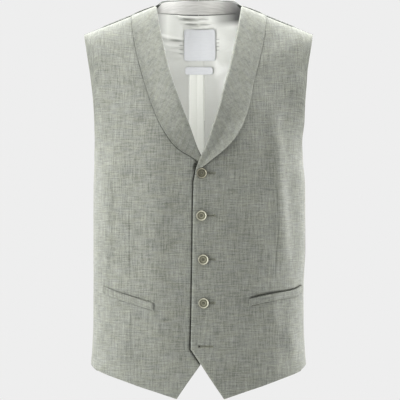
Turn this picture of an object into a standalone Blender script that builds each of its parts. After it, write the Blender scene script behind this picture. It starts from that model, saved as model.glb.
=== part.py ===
"""Single-breasted suit waistcoat with a shawl collar, filled out with no wearer.

Frame: metres, +Z up, the fronts face -Y and the wearer's left is +X. The origin lies midway
between the two neck points, where the shoulder seams meet the neckline.

Every cloth piece is a thin wall on one body surface. A place on that surface is a pair
(turn, fall): turn runs from the centre line (0) round to the side seam (90 degrees), and the
square of fall, times CROWN_DROP, is the height below the shoulder line.
"""
import bpy
import bmesh
import numpy as np
from mathutils import Matrix, Vector

MM = 0.001
FRONT, BACK = -1.0, 1.0          # sign of y of each half of the body surface
LEFT, RIGHT = 1.0, -1.0          # sign of x of each side of the garment, as worn

# ---------------------------------------------------------------- driving sizes
SHOULDER_TIP_X = 183.0 * MM      # half of the shoulder width
NECK_HALF = 68.0 * MM            # centre line to neck point
SHOULDER_SLOPE = 0.40            # fall of the shoulder seam for each unit outwards
CROWN_DROP = 250.0 * MM          # height over which chest and back round over to the shoulder
UNDERARM_Z = -250.0 * MM
SQUARENESS = 2.4                 # exponent of the oval sections: 2 is an ellipse
ARMHOLE_FLARE = 62.0 * MM        # how far the section widens past the armhole's edge
ARMHOLE_ROUND = 1.25             # exponent of that widening: 1.2 rounds the underarm fully
NECK_RISE = {FRONT: 21.0 * MM, BACK: 76.0 * MM}
NECK_ROUND = 1.5                 # exponent of that rise from neck point to centre
CROWN_ROUND = {FRONT: 0.55, BACK: 0.85}

FRONT_WALL = 1.8 * MM            # cloth, canvas and lining of a front
BACK_WALL = 1.3 * MM
LINING_WALL = 1.0 * MM
COLLAR_WALL = 1.4 * MM
COLLAR_TIP_WALL = 1.0 * MM
WELT_WALL = 1.3 * MM
LABEL_WALL = 1.0 * MM
PLEAT_RAISE = 0.9 * MM           # extra fold of lining along the centre back
SEAM_GAP = 0.3 * MM              # clear space between two pieces
LINING_GAP = 0.42 * MM           # the same between the back and what lines it
LAYER_GAP = 0.45 * MM            # the same where a finer piece lies on a coarser one
COLLAR_ROLL = 2.4 * MM           # how far the collar's fold stands past the front's edge
COLLAR_ROLL_START = 25.0 * MM    # height over which the fold grows from the closing edge
COLLAR_FLAT_WIDTH = 40.0 * MM    # narrower than this, the collar lies flatter on the front
COLLAR_TIP_SHARE = 0.35          # share of the collar's length over which its wall thins
COLLAR_TIP_SIZE = (2.0 * MM, 1.5 * MM)   # width and rise of its blunt lower end
COLLAR_SECTION = (
    # share of the width from the fold out, lift off the front (mm)
    (0.00, 0.10),
    (0.10, 0.70),
    (0.30, 0.60),
    (0.55, 0.20),
    (0.80, 0.20),
    (1.00, 0.90),
)

SECTIONS = (
    # z, half width, front depth, back depth (mm)
    (-640, 174.0, 121.0, 112.0),
    (-574, 172.0, 124.0, 111.0),
    (-548, 169.8, 125.5, 108.0),
    (-500, 168.0, 127.5, 102.0),
    (-420, 167.8, 130.0, 97.0),
    (-340, 167.8, 133.0, 103.0),
    (-290, 167.6, 135.0, 112.0),
    (-250, 166.3, 136.0, 119.0),
    (-215, 164.3, 136.0, 123.0),
    (-180, 164.9, 135.0, 125.0),
    (-150, 166.9, 135.0, 125.0),
    (-118, 170.8, 135.0, 125.0),
    (-86, 175.9, 135.0, 125.0),
    (-46, 183.0, 135.0, 125.0),
    (0, 190.0, 135.0, 125.0),
    (100, 190.0, 135.0, 125.0),
)
CENTRE_LINE = (
    # z, x of the centre front, which hangs a little off the middle (mm)
    (-640, 2.8),
    (-600, 2.8),
    (-545, 4.2),
    (-200, 4.4),
    (-160, 3.0),
    (-120, 1.0),
    (0, 0.5),
)
NECK_EDGE = (
    # z, distance of the rolled neck edge from the centre line (mm)
    (-281, -11.8),
    (-264, -8.4),
    (-247, -3.0),
    (-229, 5.7),
    (-200, 15.7),
    (-170, 26.5),
    (-133, 38.0),
    (-100, 48.0),
    (-67, 55.4),
    (-34, 62.3),
    (0, 68.0),
)
CLOSING_EDGE = (
    # z, distance past the centre line (mm), from the lower corner up
    (-540, -16.9),
    (-500, -16.4),
    (-400, -14.4),
    (-320, -13.2),
    (-281, -11.8),
)
FRONT_POINT = (36.7, -617.5)     # tip of each front: distance from the centre line, z (mm)
FRONT_HEM = (
    # distance from the centre line, z (mm)
    (36.7, -617.5),
    (70.0, -606.8),
    (98.0, -598.2),
    (126.0, -589.0),
    (146.0, -583.2),
    (161.0, -578.3),
)
SIDE_HEM_Z = -571.0 * MM
BACK_HEM_Z = -574.0 * MM
COLLAR_EDGE = (
    # z, distance of the collar's outer edge from the centre line (mm)
    (-267, -9.0),
    (-257, 3.5),
    (-250, 12.0),
    (-243, 20.5),
    (-234, 31.0),
    (-221, 43.8),
    (-208, 53.0),
    (-188, 64.0),
    (-159, 74.8),
    (-133, 82.0),
    (-106, 89.5),
    (-73, 97.6),
    (-40, 103.8),
    (-15.2, 106.0),
)
BACK_NECK = (
    # x, z of the back neckline (mm)
    (0.0, 17.6),
    (22.0, 17.2),
    (40.0, 14.8),
    (54.0, 9.9),
    (62.0, 4.6),
    (68.0, 0.0),
)
BAND_END_X = 90.0 * MM           # where the neck band's seam meets the shoulder seam
BAND_SEAM_Z = -5.1 * MM          # the same seam at the centre back

LAP_LIFT = (
    # z, how far the left front stands out along its closing edge (mm)
    (-620, 3.4),
    (-575, 4.6),
    (-535, 5.2),
    (-480, 2.6),
    (-430, 2.2),
    (-320, 2.2),
    (-285, 3.0),
    (-265, 4.8),
    (-240, 4.8),
    (-215, 3.2),
    (-180, 1.2),
    (-120, 0.0),
)
LAP_SINK = (
    # z, how far the right front lies in along its closing edge (mm)
    (-620, 0.6),
    (-535, 1.2),
    (-470, 0.4),
    (-240, 0.3),
    (-150, 0.0),
)
LAP_FADE = (34.0 * MM, 92.0 * MM)  # distances from the closing edge where the lap ends

FOLDS = {
    # x and z of both ends, half width, height (mm); x is counted towards the own side
    LEFT: (
        (121.8, -478.0, 160.0, -568.0, 13.0, 2.4),
        (133.0, -250.0, 152.0, -430.0, 12.0, 1.4),
        (98.0, -500.0, 104.0, -600.0, 12.0, -0.9),
    ),
    RIGHT: (
        (118.0, -490.0, 128.0, -600.0, 14.0, 1.2),
        (150.0, -270.0, 148.0, -420.0, 12.0, 1.0),
        (88.0, -500.0, 84.0, -600.0, 12.0, -0.8),
    ),
}
BACK_FOLDS = (
    (38.0, -360.0, 104.0, -440.0, 15.0, -2.0),
    (52.0, -470.0, 118.0, -425.0, 13.0, -1.6),
    (96.0, -90.0, 108.0, -230.0, 14.0, 1.6),
)

BUTTONS = (
    # x, z of each button's centre (mm); the last is undone, under the left front
    (5.0, -268.1),
    (4.6, -333.3),
    (7.3, -401.1),
    (7.8, -468.3),
    (4.5, -535.2),
)
BUTTON_RADIUS = 8.6 * MM
BUTTON_PROFILE = (
    # radius as a share of the button's, height above the cloth's gap (mm)
    (0.00, 0.00),
    (0.24, 0.00),
    (0.24, 1.50),
    (0.80, 1.50),
    (0.95, 1.95),
    (1.00, 2.55),
    (0.97, 3.25),
    (0.86, 3.65),
    (0.72, 3.45),
    (0.60, 2.90),
    (0.00, 2.75),
)
BUTTON_SEGMENTS = 20

WELT_TOP = {
    # distance from the middle, z of the welt's upper edge (mm), inner end first
    LEFT: (
        (78.0, -462.4),
        (84.0, -461.0),
        (111.0, -455.4),
        (150.0, -449.6),
        (163.0, -443.6),
    ),
    RIGHT: (
        (68.5, -468.8),
        (98.0, -460.6),
        (127.0, -452.0),
        (149.0, -444.2),
    ),
}
WELT_HEIGHT = 11.2 * MM
WELT_GAPE = {LEFT: 1.6 * MM, RIGHT: 0.4 * MM}

LABEL_MAIN = (2.2 * MM, -54.8 * MM, 55.0 * MM, 51.5 * MM)     # centre x, z, width, height
LABEL_SMALL = (1.0 * MM, -96.6 * MM, 47.5 * MM, 13.0 * MM)

FRONT_COLUMNS = 15
BACK_COLUMNS = (0.0, 0.046, 0.056, 0.13, 0.22, 0.32, 0.43, 0.54, 0.65, 0.75, 0.84, 0.92, 1.0)
BAND_COLUMNS = 5                 # back columns, counted from the centre, that reach the neck
BACK_UNDERARM_ROW_Z = -232.0 * MM    # centre height of the row that meets the underarm
BACK_ROW_CROWDING = 1.25         # over 1 puts the back's rows closer towards the neck
BAND_COLUMN_CROWDING = 1.35      # and the band seam's columns closer towards the centre
NECKLINE_CROWDING = 0.92         # and the neckline's closer towards the neck point
CUTAWAY_ROWS, EDGE_ROWS = 4, 11
WELT_COLUMNS = 12
NECK_ROW_FALL = (1.0, 0.9, 0.8, 0.7, 0.6, 0.51, 0.42, 0.34, 0.26, 0.2, 0.15, 0.1, 0.05, 0.0)
COLLAR_ROW_FALL = (1.0, 0.98, 0.95, 0.92, 0.88, 0.84, 0.79, 0.74, 0.68, 0.62, 0.56, 0.5, 0.44, 0.38,
                   0.32, 0.26, 0.2, 0.15, 0.1, 0.05, 0.0)

# ---------------------------------------------------------------- curves and tables


def table_curve(rows, column):
    """Return a smooth function of the first column (mm in the table, metres outside)."""
    table = np.array(rows, float)
    place, value = table[:, 0] * MM, table[:, column] * MM
    return lambda at: monotone(place, value, at)


def monotone(place, value, at):
    """Interpolate with a cubic that never overshoots its points."""
    step = np.diff(place)
    slope = np.diff(value) / step
    tangent = np.concatenate(([slope[0]], np.zeros(len(slope) - 1), [slope[-1]]))
    for i in range(1, len(slope)):
        if slope[i - 1] * slope[i] > 0.0:
            near, far = 2 * step[i] + step[i - 1], step[i] + 2 * step[i - 1]
            tangent[i] = (near + far) / (near / slope[i - 1] + far / slope[i])
    at = np.clip(np.asarray(at, float), place[0], place[-1])
    i = np.clip(np.searchsorted(place, at) - 1, 0, len(step) - 1)
    t = (at - place[i]) / step[i]
    rise = value[i] * (2 * t**3 - 3 * t**2 + 1) + value[i + 1] * (3 * t**2 - 2 * t**3)
    return rise + step[i] * (tangent[i] * (t**3 - 2 * t**2 + t) + tangent[i + 1] * (t**3 - t**2))


def smooth_step(t):
    t = np.clip(t, 0.0, 1.0)
    return t * t * (3.0 - 2.0 * t)


half_section = table_curve(SECTIONS, 1)
depth_of = {FRONT: table_curve(SECTIONS, 2), BACK: table_curve(SECTIONS, 3)}
centre_line = table_curve(CENTRE_LINE, 1)
neck_edge = table_curve(NECK_EDGE, 1)
closing_edge = table_curve(CLOSING_EDGE, 1)
lap_lift = table_curve(LAP_LIFT, 1)
lap_sink = table_curve(LAP_SINK, 1)
front_hem = table_curve(FRONT_HEM, 1)
back_neck = table_curve(BACK_NECK, 1)

# ---------------------------------------------------------------- body surface


def shoulder_line(x, half):
    """Height of the shoulder line; inside the neck it rises like a neck's root."""
    share = np.abs(x) / NECK_HALF
    inside = np.maximum(1.0 - share ** 2, 0.0)
    slope = np.where(share < 1.0, 0.5 * inside, 1.0 - share) * NECK_HALF * SHOULDER_SLOPE
    return slope + NECK_RISE[half] * inside ** NECK_ROUND


TIP_Z = -(SHOULDER_TIP_X - NECK_HALF) * SHOULDER_SLOPE


def half_width(z):
    """Half width of the oval section; above the underarm it widens past the armhole."""
    above = np.clip((z - UNDERARM_Z) / (TIP_Z - UNDERARM_Z), 0.0, 1.2)
    return half_section(z) + ARMHOLE_FLARE * above ** ARMHOLE_ROUND


def body_depth(x, z, half):
    """Distance in front of, or behind, the shoulder line, before the section rounds off."""
    t = np.clip((shoulder_line(x, half) - z) / CROWN_DROP, 0.0, 1.0)
    blend = CROWN_ROUND[half]
    crown = blend * np.sqrt(2 * t - t * t) + (1.0 - blend) * smooth_step(t)
    return depth_of[half](z) * crown


def place_on_body(x, z, half):
    """Turn and fall of the surface place at x, z."""
    turn = np.arcsin(np.clip(x / half_width(z), -1.0, 1.0))
    fall = np.sqrt(np.maximum(shoulder_line(x, half) - z, 0.0) / CROWN_DROP)
    return np.stack(np.broadcast_arrays(turn, fall), -1)


def body_point(place, half):
    """Point of the body surface at a turn and fall."""
    turn, fall = place[..., 0], place[..., 1]
    z = -CROWN_DROP * fall ** 2
    for _ in range(24):
        x = half_width(z) * np.sin(turn)
        z = shoulder_line(x, half) - CROWN_DROP * fall ** 2
    share = np.clip(np.abs(np.sin(turn)), 0.0, 1.0)
    oval = (1.0 - share ** SQUARENESS) ** (1.0 / SQUARENESS)
    return np.stack([x, half * body_depth(x, z, half) * oval, z], -1)


def body_normal(place, half):
    """Unit normal of the body surface, pointing out."""
    step = 2e-4
    low = np.maximum(place - step, [-np.pi / 2, 1e-6])
    high = np.minimum(place + step, [np.pi / 2, np.inf])
    along_turn = (body_point(np.stack([high[..., 0], place[..., 1]], -1), half)
                  - body_point(np.stack([low[..., 0], place[..., 1]], -1), half))
    along_fall = (body_point(np.stack([place[..., 0], high[..., 1]], -1), half)
                  - body_point(np.stack([place[..., 0], low[..., 1]], -1), half))
    normal = np.cross(along_turn, along_fall) * half
    return normal / np.linalg.norm(normal, axis=-1, keepdims=True)


def fold_height(x, z, folds):
    """Sum of soft ridges and troughs, each along a straight line that fades at its ends."""
    height = np.zeros_like(x)
    for x0, z0, x1, z1, half_span, rise in folds:
        start = np.array([x0, z0]) * MM
        way = np.array([x1, z1]) * MM - start
        along = ((x - start[0]) * way[0] + (z - start[1]) * way[1]) / way.dot(way)
        across = ((x - start[0]) * way[1] - (z - start[1]) * way[0]) / np.sqrt(way.dot(way))
        fade = smooth_step(along / 0.3) * smooth_step((1.0 - along) / 0.3)
        height += rise * MM * fade * np.exp(-(across / (half_span * MM)) ** 2)
    return height


# ---------------------------------------------------------------- walls


def coons(bottom, top, left, right):
    """Blend four edges into a grid of places, indexed [row, column]."""
    v = np.linspace(0.0, 1.0, len(left))[:, None, None]
    u = spacing_of(bottom)[None, :, None]
    grid = (1 - v) * bottom[None] + v * top[None] + (1 - u) * left[:, None] + u * right[:, None]
    corners = (1 - u) * ((1 - v) * bottom[0] + v * top[0]) + u * ((1 - v) * bottom[-1] + v * top[-1])
    return grid - corners


def spacing_of(edge):
    """Share of an edge's run at each of its points, by turn."""
    run = edge[:, 0] - edge[0, 0]
    return run / run[-1]


def grid_faces(rows, columns):
    """Quads of a grid whose points are numbered row by row."""
    return [(r * columns + c, r * columns + c + 1, (r + 1) * columns + c + 1, (r + 1) * columns + c)
            for r in range(rows - 1) for c in range(columns - 1)]


def split_quads(faces, turns):
    """Halve each quad, along mirrored diagonals on the two sides of the centre line."""
    halves = []
    for a, b, c, d in faces:
        if turns[a] + turns[b] + turns[c] + turns[d] < 0.0:
            halves += [(a, b, d), (b, c, d)]
        else:
            halves += [(a, b, c), (a, c, d)]
    return halves


def wall(name, material, outer, inner, faces):
    """Make one closed cloth wall from matching outer and inner points and their triangles."""
    count = len(outer)
    mesh = bpy.data.meshes.new(name)
    edges = {}
    for face in faces:
        for a, b in zip(face, face[1:] + face[:1]):
            edges[(a, b)] = edges.get((a, b), 0) + 1
    rim = [(a, b) for a, b in edges if (b, a) not in edges]
    shell = list(faces)
    shell += [tuple(count + i for i in reversed(face)) for face in faces]
    shell += [(b, a, count + a, count + b) for a, b in rim]
    mesh.from_pydata([tuple(p) for p in np.concatenate([outer, inner])], [], shell)
    body = bmesh.new()
    body.from_mesh(mesh)
    bmesh.ops.recalc_face_normals(body, faces=body.faces)
    body.to_mesh(mesh)
    body.free()
    mesh.shade_smooth()
    mesh.set_sharp_from_angle(angle=np.radians(40.0))
    mesh.materials.append(material)
    piece = bpy.data.objects.new(name, mesh)
    bpy.context.collection.objects.link(piece)
    return piece


def cloth(name, material, places, faces, half, side, outer_offset, thickness):
    """Wall on the body surface; the offsets are functions of x and z or plain sizes."""
    point = body_point(places, half)
    normal = body_normal(places, half)
    out = outer_offset(point[:, 0], point[:, 2]) if callable(outer_offset) else outer_offset
    thick = thickness(places) if callable(thickness) else thickness
    outer = point + normal * np.broadcast_to(out, len(point))[:, None]
    inner = point + normal * np.broadcast_to(out - thick, len(point))[:, None]
    outer[:, 0] *= side
    inner[:, 0] *= side
    return wall(name, material, outer, inner, split_quads(faces, places[:, 0]))


# ---------------------------------------------------------------- fronts


def front_offset(side):
    """How far the front's outer face stands off the body surface, at x and z."""
    def offset(x, z):
        edge = np.where(z > NECK_EDGE[0][0] * MM, neck_edge(z), closing_edge(z))
        from_edge = x - edge - side * centre_line(z)
        near = 1.0 - smooth_step((from_edge - LAP_FADE[0]) / (LAP_FADE[1] - LAP_FADE[0]))
        lap = lap_lift(z) if side == LEFT else -lap_sink(z)
        return lap * near + fold_height(x, z, FOLDS[side])
    return offset


def armhole_places(rows, half):
    """Armhole edge from the underarm to the shoulder tip, evenly spaced along it."""
    z = UNDERARM_Z + (TIP_Z - UNDERARM_Z) * np.linspace(0.0, 1.0, 400) ** 2
    places = place_on_body(half_section(z), z, half)
    places[-1] = (np.arcsin(SHOULDER_TIP_X / half_width(TIP_Z)), 0.0)
    point = body_point(places, half)
    run = np.concatenate(([0.0], np.cumsum(np.linalg.norm(np.diff(point, axis=0), axis=1))))
    at = np.linspace(0.0, run[-1], rows)
    return np.stack([np.interp(at, run, places[:, k]) for k in (0, 1)], -1)


def side_places(z, half):
    """Side seam places at heights z."""
    fall = np.sqrt((shoulder_line(half_width(z), half) - z) / CROWN_DROP)
    return np.stack([np.full(len(z), np.pi / 2), fall], -1)


def trimmed_side(places):
    """Move side-seam places half a seam's gap away from the seam."""
    places = places.copy()
    at_seam = places[:, 0] > np.pi / 2 - 1e-9
    places[at_seam, 0] -= SIDE_GAP_TURN
    return places


def shoulder_places(x, half):
    """Shoulder seam places, half a seam's gap short of the seam."""
    z = shoulder_line(x, half)
    turn = np.arcsin(x / half_width(z))
    return np.stack([turn, np.full(len(x), SHOULDER_GAP_FALL)], -1)


SIDE_GAP_TURN = 0.0006           # leaves half of SEAM_GAP at the side seam
SHOULDER_GAP_FALL = 0.0016       # and at the shoulder seam
BAND_GAP_FALL = 0.0044           # leaves SEAM_GAP or a little more under the neck band


def neck_heights():
    """Heights of the rows along the neck edge, closer together towards the shoulder."""
    fall = np.array(NECK_ROW_FALL)
    return NECK_EDGE[0][0] * MM * fall ** 2


def front_edge_places(side):
    """Places up the closing edge and the neck edge of one front."""
    corner = np.array([CLOSING_EDGE[0][1], CLOSING_EDGE[0][0]]) * MM
    tip = np.array(FRONT_POINT) * MM
    cutaway = tip + (corner - tip) * np.linspace(0.0, 1.0, CUTAWAY_ROWS + 1)[:, None]
    edge_z = np.linspace(CLOSING_EDGE[0][0], CLOSING_EDGE[-1][0], EDGE_ROWS + 1)[1:] * MM
    neck_z = neck_heights()[1:]
    inset = COLLAR_ROLL * smooth_step((neck_z - neck_z[0]) / COLLAR_ROLL_START)
    x = np.concatenate([cutaway[:, 0], closing_edge(edge_z), neck_edge(neck_z) + inset])
    z = np.concatenate([cutaway[:, 1], edge_z, neck_z])
    places = place_on_body(x + side * centre_line(z), z, FRONT)
    places[-1, 1] = SHOULDER_GAP_FALL
    return places


def side_and_armhole_places(half, hem_z):
    """Places up the side seam and the armhole, with as many rows as the front edge."""
    seam_rows = CUTAWAY_ROWS + EDGE_ROWS + 1
    seam = trimmed_side(side_places(np.linspace(hem_z, UNDERARM_Z, seam_rows), half))
    armhole = armhole_places(len(NECK_ROW_FALL), half)[1:]
    armhole[-1, 1] = SHOULDER_GAP_FALL
    return np.concatenate([seam, armhole])


def front_grid(side):
    """Grid of places of one front, from the closing edge to the side."""
    left = front_edge_places(side)
    right = side_and_armhole_places(FRONT, SIDE_HEM_Z)
    columns = np.linspace(0.0, 1.0, FRONT_COLUMNS + 1)
    turn = left[0, 0] + (right[0, 0] - left[0, 0]) * columns
    bottom = hem_places(turn, side)
    bottom[0], bottom[-1] = left[0], right[0]
    neck_x = NECK_HALF + COLLAR_ROLL + side * centre_line(0.0)
    seam_x = neck_x + (SHOULDER_TIP_X - neck_x) * columns
    top = shoulder_places(seam_x, FRONT)
    top[0], top[-1] = left[-1], right[-1]
    return coons(bottom, top, left, right)


def hem_places(turn, side):
    """Places along a front's hem at the given turns."""
    x = half_width(SIDE_HEM_Z) * np.sin(turn)
    corner_x = FRONT_HEM[-1][0] * MM
    corner = np.clip((x - corner_x) / (half_width(SIDE_HEM_Z) - corner_x), 0.0, 1.0)
    z = front_hem(x - side * centre_line(FRONT_POINT[1] * MM) * (1.0 - corner))
    z = z + (SIDE_HEM_Z - FRONT_HEM[-1][1] * MM) * corner
    return place_on_body(x, z, FRONT)


def make_front(name, side, material):
    grid = front_grid(side)
    rows, columns = grid.shape[:2]
    places = grid.reshape(-1, 2)
    return cloth(name, material, places, grid_faces(rows, columns), FRONT, side,
                 front_offset(side), FRONT_WALL)


# ---------------------------------------------------------------- back and what lines it


def back_grid(inner_edge):
    """Half of the back below the neck band's seam, from the centre to the side."""
    columns = np.array(BACK_COLUMNS)
    right = side_and_armhole_places(BACK, SIDE_HEM_Z)
    centre_z = centre_back_heights()
    left = place_on_body(np.zeros(len(centre_z)), centre_z, BACK)
    hem_turn = columns * right[0, 0]
    hem_x = half_width(SIDE_HEM_Z) * np.sin(hem_turn)
    hem_z = BACK_HEM_Z + (SIDE_HEM_Z - BACK_HEM_Z) * (hem_turn / right[0, 0]) ** 2
    bottom = place_on_body(hem_x, hem_z, BACK)
    bottom[-1] = right[0]
    top = band_seam_places()
    grid = coons(bottom, top, left, right)
    grid[:, 0, 0] = inner_edge
    return grid


def centre_back_heights():
    """Row heights down the centre back, closer together behind the neck."""
    seam_rows = CUTAWAY_ROWS + EDGE_ROWS + 1
    lower = np.linspace(BACK_HEM_Z, BACK_UNDERARM_ROW_Z, seam_rows)
    left_over = np.linspace(1.0, 0.0, len(NECK_ROW_FALL))[1:]
    upper = BAND_SEAM_Z + (BACK_UNDERARM_ROW_Z - BAND_SEAM_Z) * left_over ** BACK_ROW_CROWDING
    return np.concatenate([lower, upper])


def band_seam_places():
    """The neck band's seam out to the shoulder, then along the shoulder seam to its tip."""
    band_x = np.linspace(0.0, 1.0, BAND_COLUMNS + 1) ** BAND_COLUMN_CROWDING * BAND_END_X
    end_z = shoulder_line(BAND_END_X, BACK)
    band_z = BAND_SEAM_Z + (end_z - BAND_SEAM_Z) * (band_x / BAND_END_X) ** 2
    band = place_on_body(band_x, band_z, BACK)
    band[-1, 1] = SHOULDER_GAP_FALL
    rest = len(BACK_COLUMNS) - BAND_COLUMNS
    seam = shoulder_places(np.linspace(BAND_END_X, SHOULDER_TIP_X, rest)[1:], BACK)
    return np.concatenate([band, seam])


def band_grid(seam):
    """Half of the neck band, from its seam up to the neckline."""
    x = NECK_HALF * np.linspace(0.0, 1.0, BAND_COLUMNS + 1) ** NECKLINE_CROWDING
    neckline = place_on_body(x, back_neck(x), BACK)
    neckline[-1, 1] = SHOULDER_GAP_FALL
    neckline[0, 0] = seam[0, 0]
    share = np.array([0.0, 0.5, 1.0])[:, None, None]
    return seam[None] * (1.0 - share) + neckline[None] * share


def joined(lower, upper):
    """Places and faces of a lower grid with a narrower grid on its last row."""
    rows, columns = lower.shape[:2]
    upper_rows, upper_columns = upper.shape[:2]
    places = np.concatenate([lower.reshape(-1, 2), upper[1:].reshape(-1, 2)])
    faces = grid_faces(rows, columns)
    number = np.empty((upper_rows, upper_columns), int)
    number[0] = (rows - 1) * columns + np.arange(upper_columns)
    number[1:] = rows * columns + np.arange((upper_rows - 1) * upper_columns).reshape(-1, upper_columns)
    for r in range(upper_rows - 1):
        for c in range(upper_columns - 1):
            faces.append((number[r, c], number[r, c + 1], number[r + 1, c + 1], number[r + 1, c]))
    return places, [tuple(int(i) for i in face) for face in faces]


def mirrored(grid):
    """A half grid and its mirror image, joined on the centre line."""
    flipped = grid[:, :0:-1].copy()
    flipped[..., 0] *= -1.0
    return np.concatenate([flipped, grid], 1)


def back_offset(x, z):
    return fold_height(np.abs(x), z, BACK_FOLDS)


def make_back(name, side, material):
    """One half of the back, from the centre back seam to the side."""
    half_gap_turn = 0.5 * SEAM_GAP / half_width(UNDERARM_Z)
    lower = back_grid(half_gap_turn)
    upper = band_grid(lower[-1, :BAND_COLUMNS + 1])
    places, faces = joined(lower, upper)
    return cloth(name, material, places, faces, BACK, side, back_offset, BACK_WALL)


def lining_outer(x, z):
    return back_offset(x, z) - BACK_WALL - LINING_GAP


def make_back_lining(material):
    """The lining of the back, in one piece with a flat pleat down its centre."""
    half = back_grid(0.0)
    half[-1, :BAND_COLUMNS + 1, 1] += BAND_GAP_FALL
    grid = mirrored(half)
    middle = grid.shape[1] // 2
    pleat = np.zeros(grid.shape[:2])
    pleat[:, middle - 1:middle + 2] = PLEAT_RAISE
    return cloth("back_lining", material, grid.reshape(-1, 2), grid_faces(*grid.shape[:2]), BACK, 1.0,
                 lining_outer, lambda places: LINING_WALL + pleat.reshape(-1))


def make_neck_band(material):
    """The band inside the back neck, between the neckline and the lining."""
    grid = mirrored(band_grid(back_grid(0.0)[-1, :BAND_COLUMNS + 1]))
    return cloth("back_neck_band", material, grid.reshape(-1, 2), grid_faces(*grid.shape[:2]), BACK, 1.0,
                 lining_outer, LINING_WALL + PLEAT_RAISE)


def make_label(name, size, material):
    """A woven label, sewn flat on the back lining."""
    centre_x, centre_z, width, height = size
    x, z = np.meshgrid(centre_x + width * np.linspace(-0.5, 0.5, 7),
                       centre_z + height * np.linspace(-0.5, 0.5, 3 + int(height / (12.0 * MM))))
    places = place_on_body(x, z, BACK)
    inside = -(BACK_WALL + LINING_GAP + LINING_WALL + PLEAT_RAISE + LAYER_GAP)
    return cloth(name, material, places.reshape(-1, 2), grid_faces(*x.shape), BACK, 1.0,
                 inside, LABEL_WALL)


# ---------------------------------------------------------------- collar, welts and buttons


def make_collar(name, side, material):
    """Half of the shawl collar: a band folded over the neck edge, tapering to the closing edge."""
    fall = np.array(COLLAR_ROW_FALL)
    share = 1.0 - fall
    end_z = COLLAR_EDGE[0][0] * MM
    neck_z = end_z * fall ** 2
    table_z = np.array([row[0] for row in COLLAR_EDGE]) * MM
    table_x = np.array([row[1] for row in COLLAR_EDGE]) * MM
    run = np.concatenate(([0.0], np.cumsum(np.hypot(np.diff(table_x), np.diff(table_z)))))
    at = run[-1] * (1.0 - fall ** 2)
    outer_x, outer_z = monotone(run, table_x, at), monotone(run, table_z, at)
    outer_z = np.minimum(outer_z, shoulder_line(outer_x + side * centre_line(outer_z), FRONT))
    inner_x = neck_edge(neck_z)
    outer_x[0], outer_z[0] = inner_x[0] + COLLAR_TIP_SIZE[0], end_z + COLLAR_TIP_SIZE[1]
    across = np.array(COLLAR_SECTION)[:, 0][None]
    x = inner_x[:, None] * (1 - across) + outer_x[:, None] * across
    z = neck_z[:, None] * (1 - across) + outer_z[:, None] * across
    places = place_on_body(x + side * centre_line(z), z, FRONT)
    places[-1, :, 1] = SHOULDER_GAP_FALL
    point = body_point(places, FRONT)
    normal = body_normal(places, FRONT)
    seat = front_offset(side)(point[..., 0], point[..., 2]) + LAYER_GAP
    thick = COLLAR_TIP_WALL + (COLLAR_WALL - COLLAR_TIP_WALL) * smooth_step(share / COLLAR_TIP_SHARE)
    lift = np.array(COLLAR_SECTION)[:, 1] * MM
    spread = smooth_step((outer_x - inner_x) / COLLAR_FLAT_WIDTH)
    inner = point + normal * (seat + lift[None] * spread[:, None])[..., None]
    outer = inner + normal * thick[:, None, None]
    for face in (outer, inner):
        face[..., 0] *= side
    faces = split_quads(grid_faces(*x.shape), places[..., 0].reshape(-1))
    return wall(name, material, outer.reshape(-1, 3), inner.reshape(-1, 3), faces)


def make_welt(name, side, material):
    """The slanted welt of a pocket, its upper edge standing a little open."""
    ends = np.array([WELT_TOP[side][0], WELT_TOP[side][-1]]) * MM
    turn = place_on_body(ends[:, 0], ends[:, 1], FRONT)[:, 0]
    x = np.sin(np.linspace(turn[0], turn[1], WELT_COLUMNS + 1)) * half_width(ends[0, 1])
    x = np.clip(x, ends[0, 0], ends[1, 0])
    across = np.linspace(0.0, 1.0, 4)[:, None]
    z = table_curve(WELT_TOP[side], 1)(x)[None] - WELT_HEIGHT * (1.0 - across)
    x = np.broadcast_to(x, z.shape)
    places = place_on_body(x, z, FRONT)
    gape = np.sin(np.pi * np.linspace(0.0, 1.0, x.shape[1]))[None] * across ** 2 * WELT_GAPE[side]
    point = body_point(places, FRONT)
    normal = body_normal(places, FRONT)
    seat = front_offset(side)(point[..., 0], point[..., 2]) + LAYER_GAP + gape
    inner = point + normal * seat[..., None]
    outer = inner + normal * WELT_WALL
    for face in (outer, inner):
        face[..., 0] *= side
    faces = split_quads(grid_faces(*x.shape), places[..., 0].reshape(-1))
    return wall(name, material, outer.reshape(-1, 3), inner.reshape(-1, 3), faces)


def make_button(name, x, z, on_side, material):
    """A dished button on its thread shank, square to the cloth it is sewn through."""
    place = place_on_body(np.array([x * on_side]), np.array([z]), FRONT)
    point = body_point(place, FRONT)
    normal = body_normal(place, FRONT)
    stand = front_offset(on_side)(point[:, 0], point[:, 2])[0] + SEAM_GAP
    seat = Vector(point[0] + normal[0] * stand)
    seat.x *= on_side
    axis = Vector(normal[0])
    axis.x *= on_side
    body = bmesh.new()
    profile = [body.verts.new((r * BUTTON_RADIUS, 0.0, h * MM)) for r, h in BUTTON_PROFILE]
    edges = [body.edges.new(pair) for pair in zip(profile, profile[1:])]
    bmesh.ops.spin(body, geom=profile + edges, axis=(0, 0, 1), cent=(0, 0, 0), steps=BUTTON_SEGMENTS,
                   angle=2 * np.pi, use_merge=True)
    bmesh.ops.remove_doubles(body, verts=body.verts, dist=1e-6)
    bmesh.ops.recalc_face_normals(body, faces=body.faces)
    mesh = bpy.data.meshes.new(name)
    body.to_mesh(mesh)
    body.free()
    mesh.shade_smooth()
    mesh.set_sharp_from_angle(angle=np.radians(40.0))
    mesh.materials.append(material)
    button = bpy.data.objects.new(name, mesh)
    turn = axis.to_track_quat("Z", "Y").to_matrix().to_4x4()
    button.matrix_world = Matrix.Translation(seat) @ turn
    bpy.context.collection.objects.link(button)
    return button


# ---------------------------------------------------------------- materials and assembly


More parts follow.
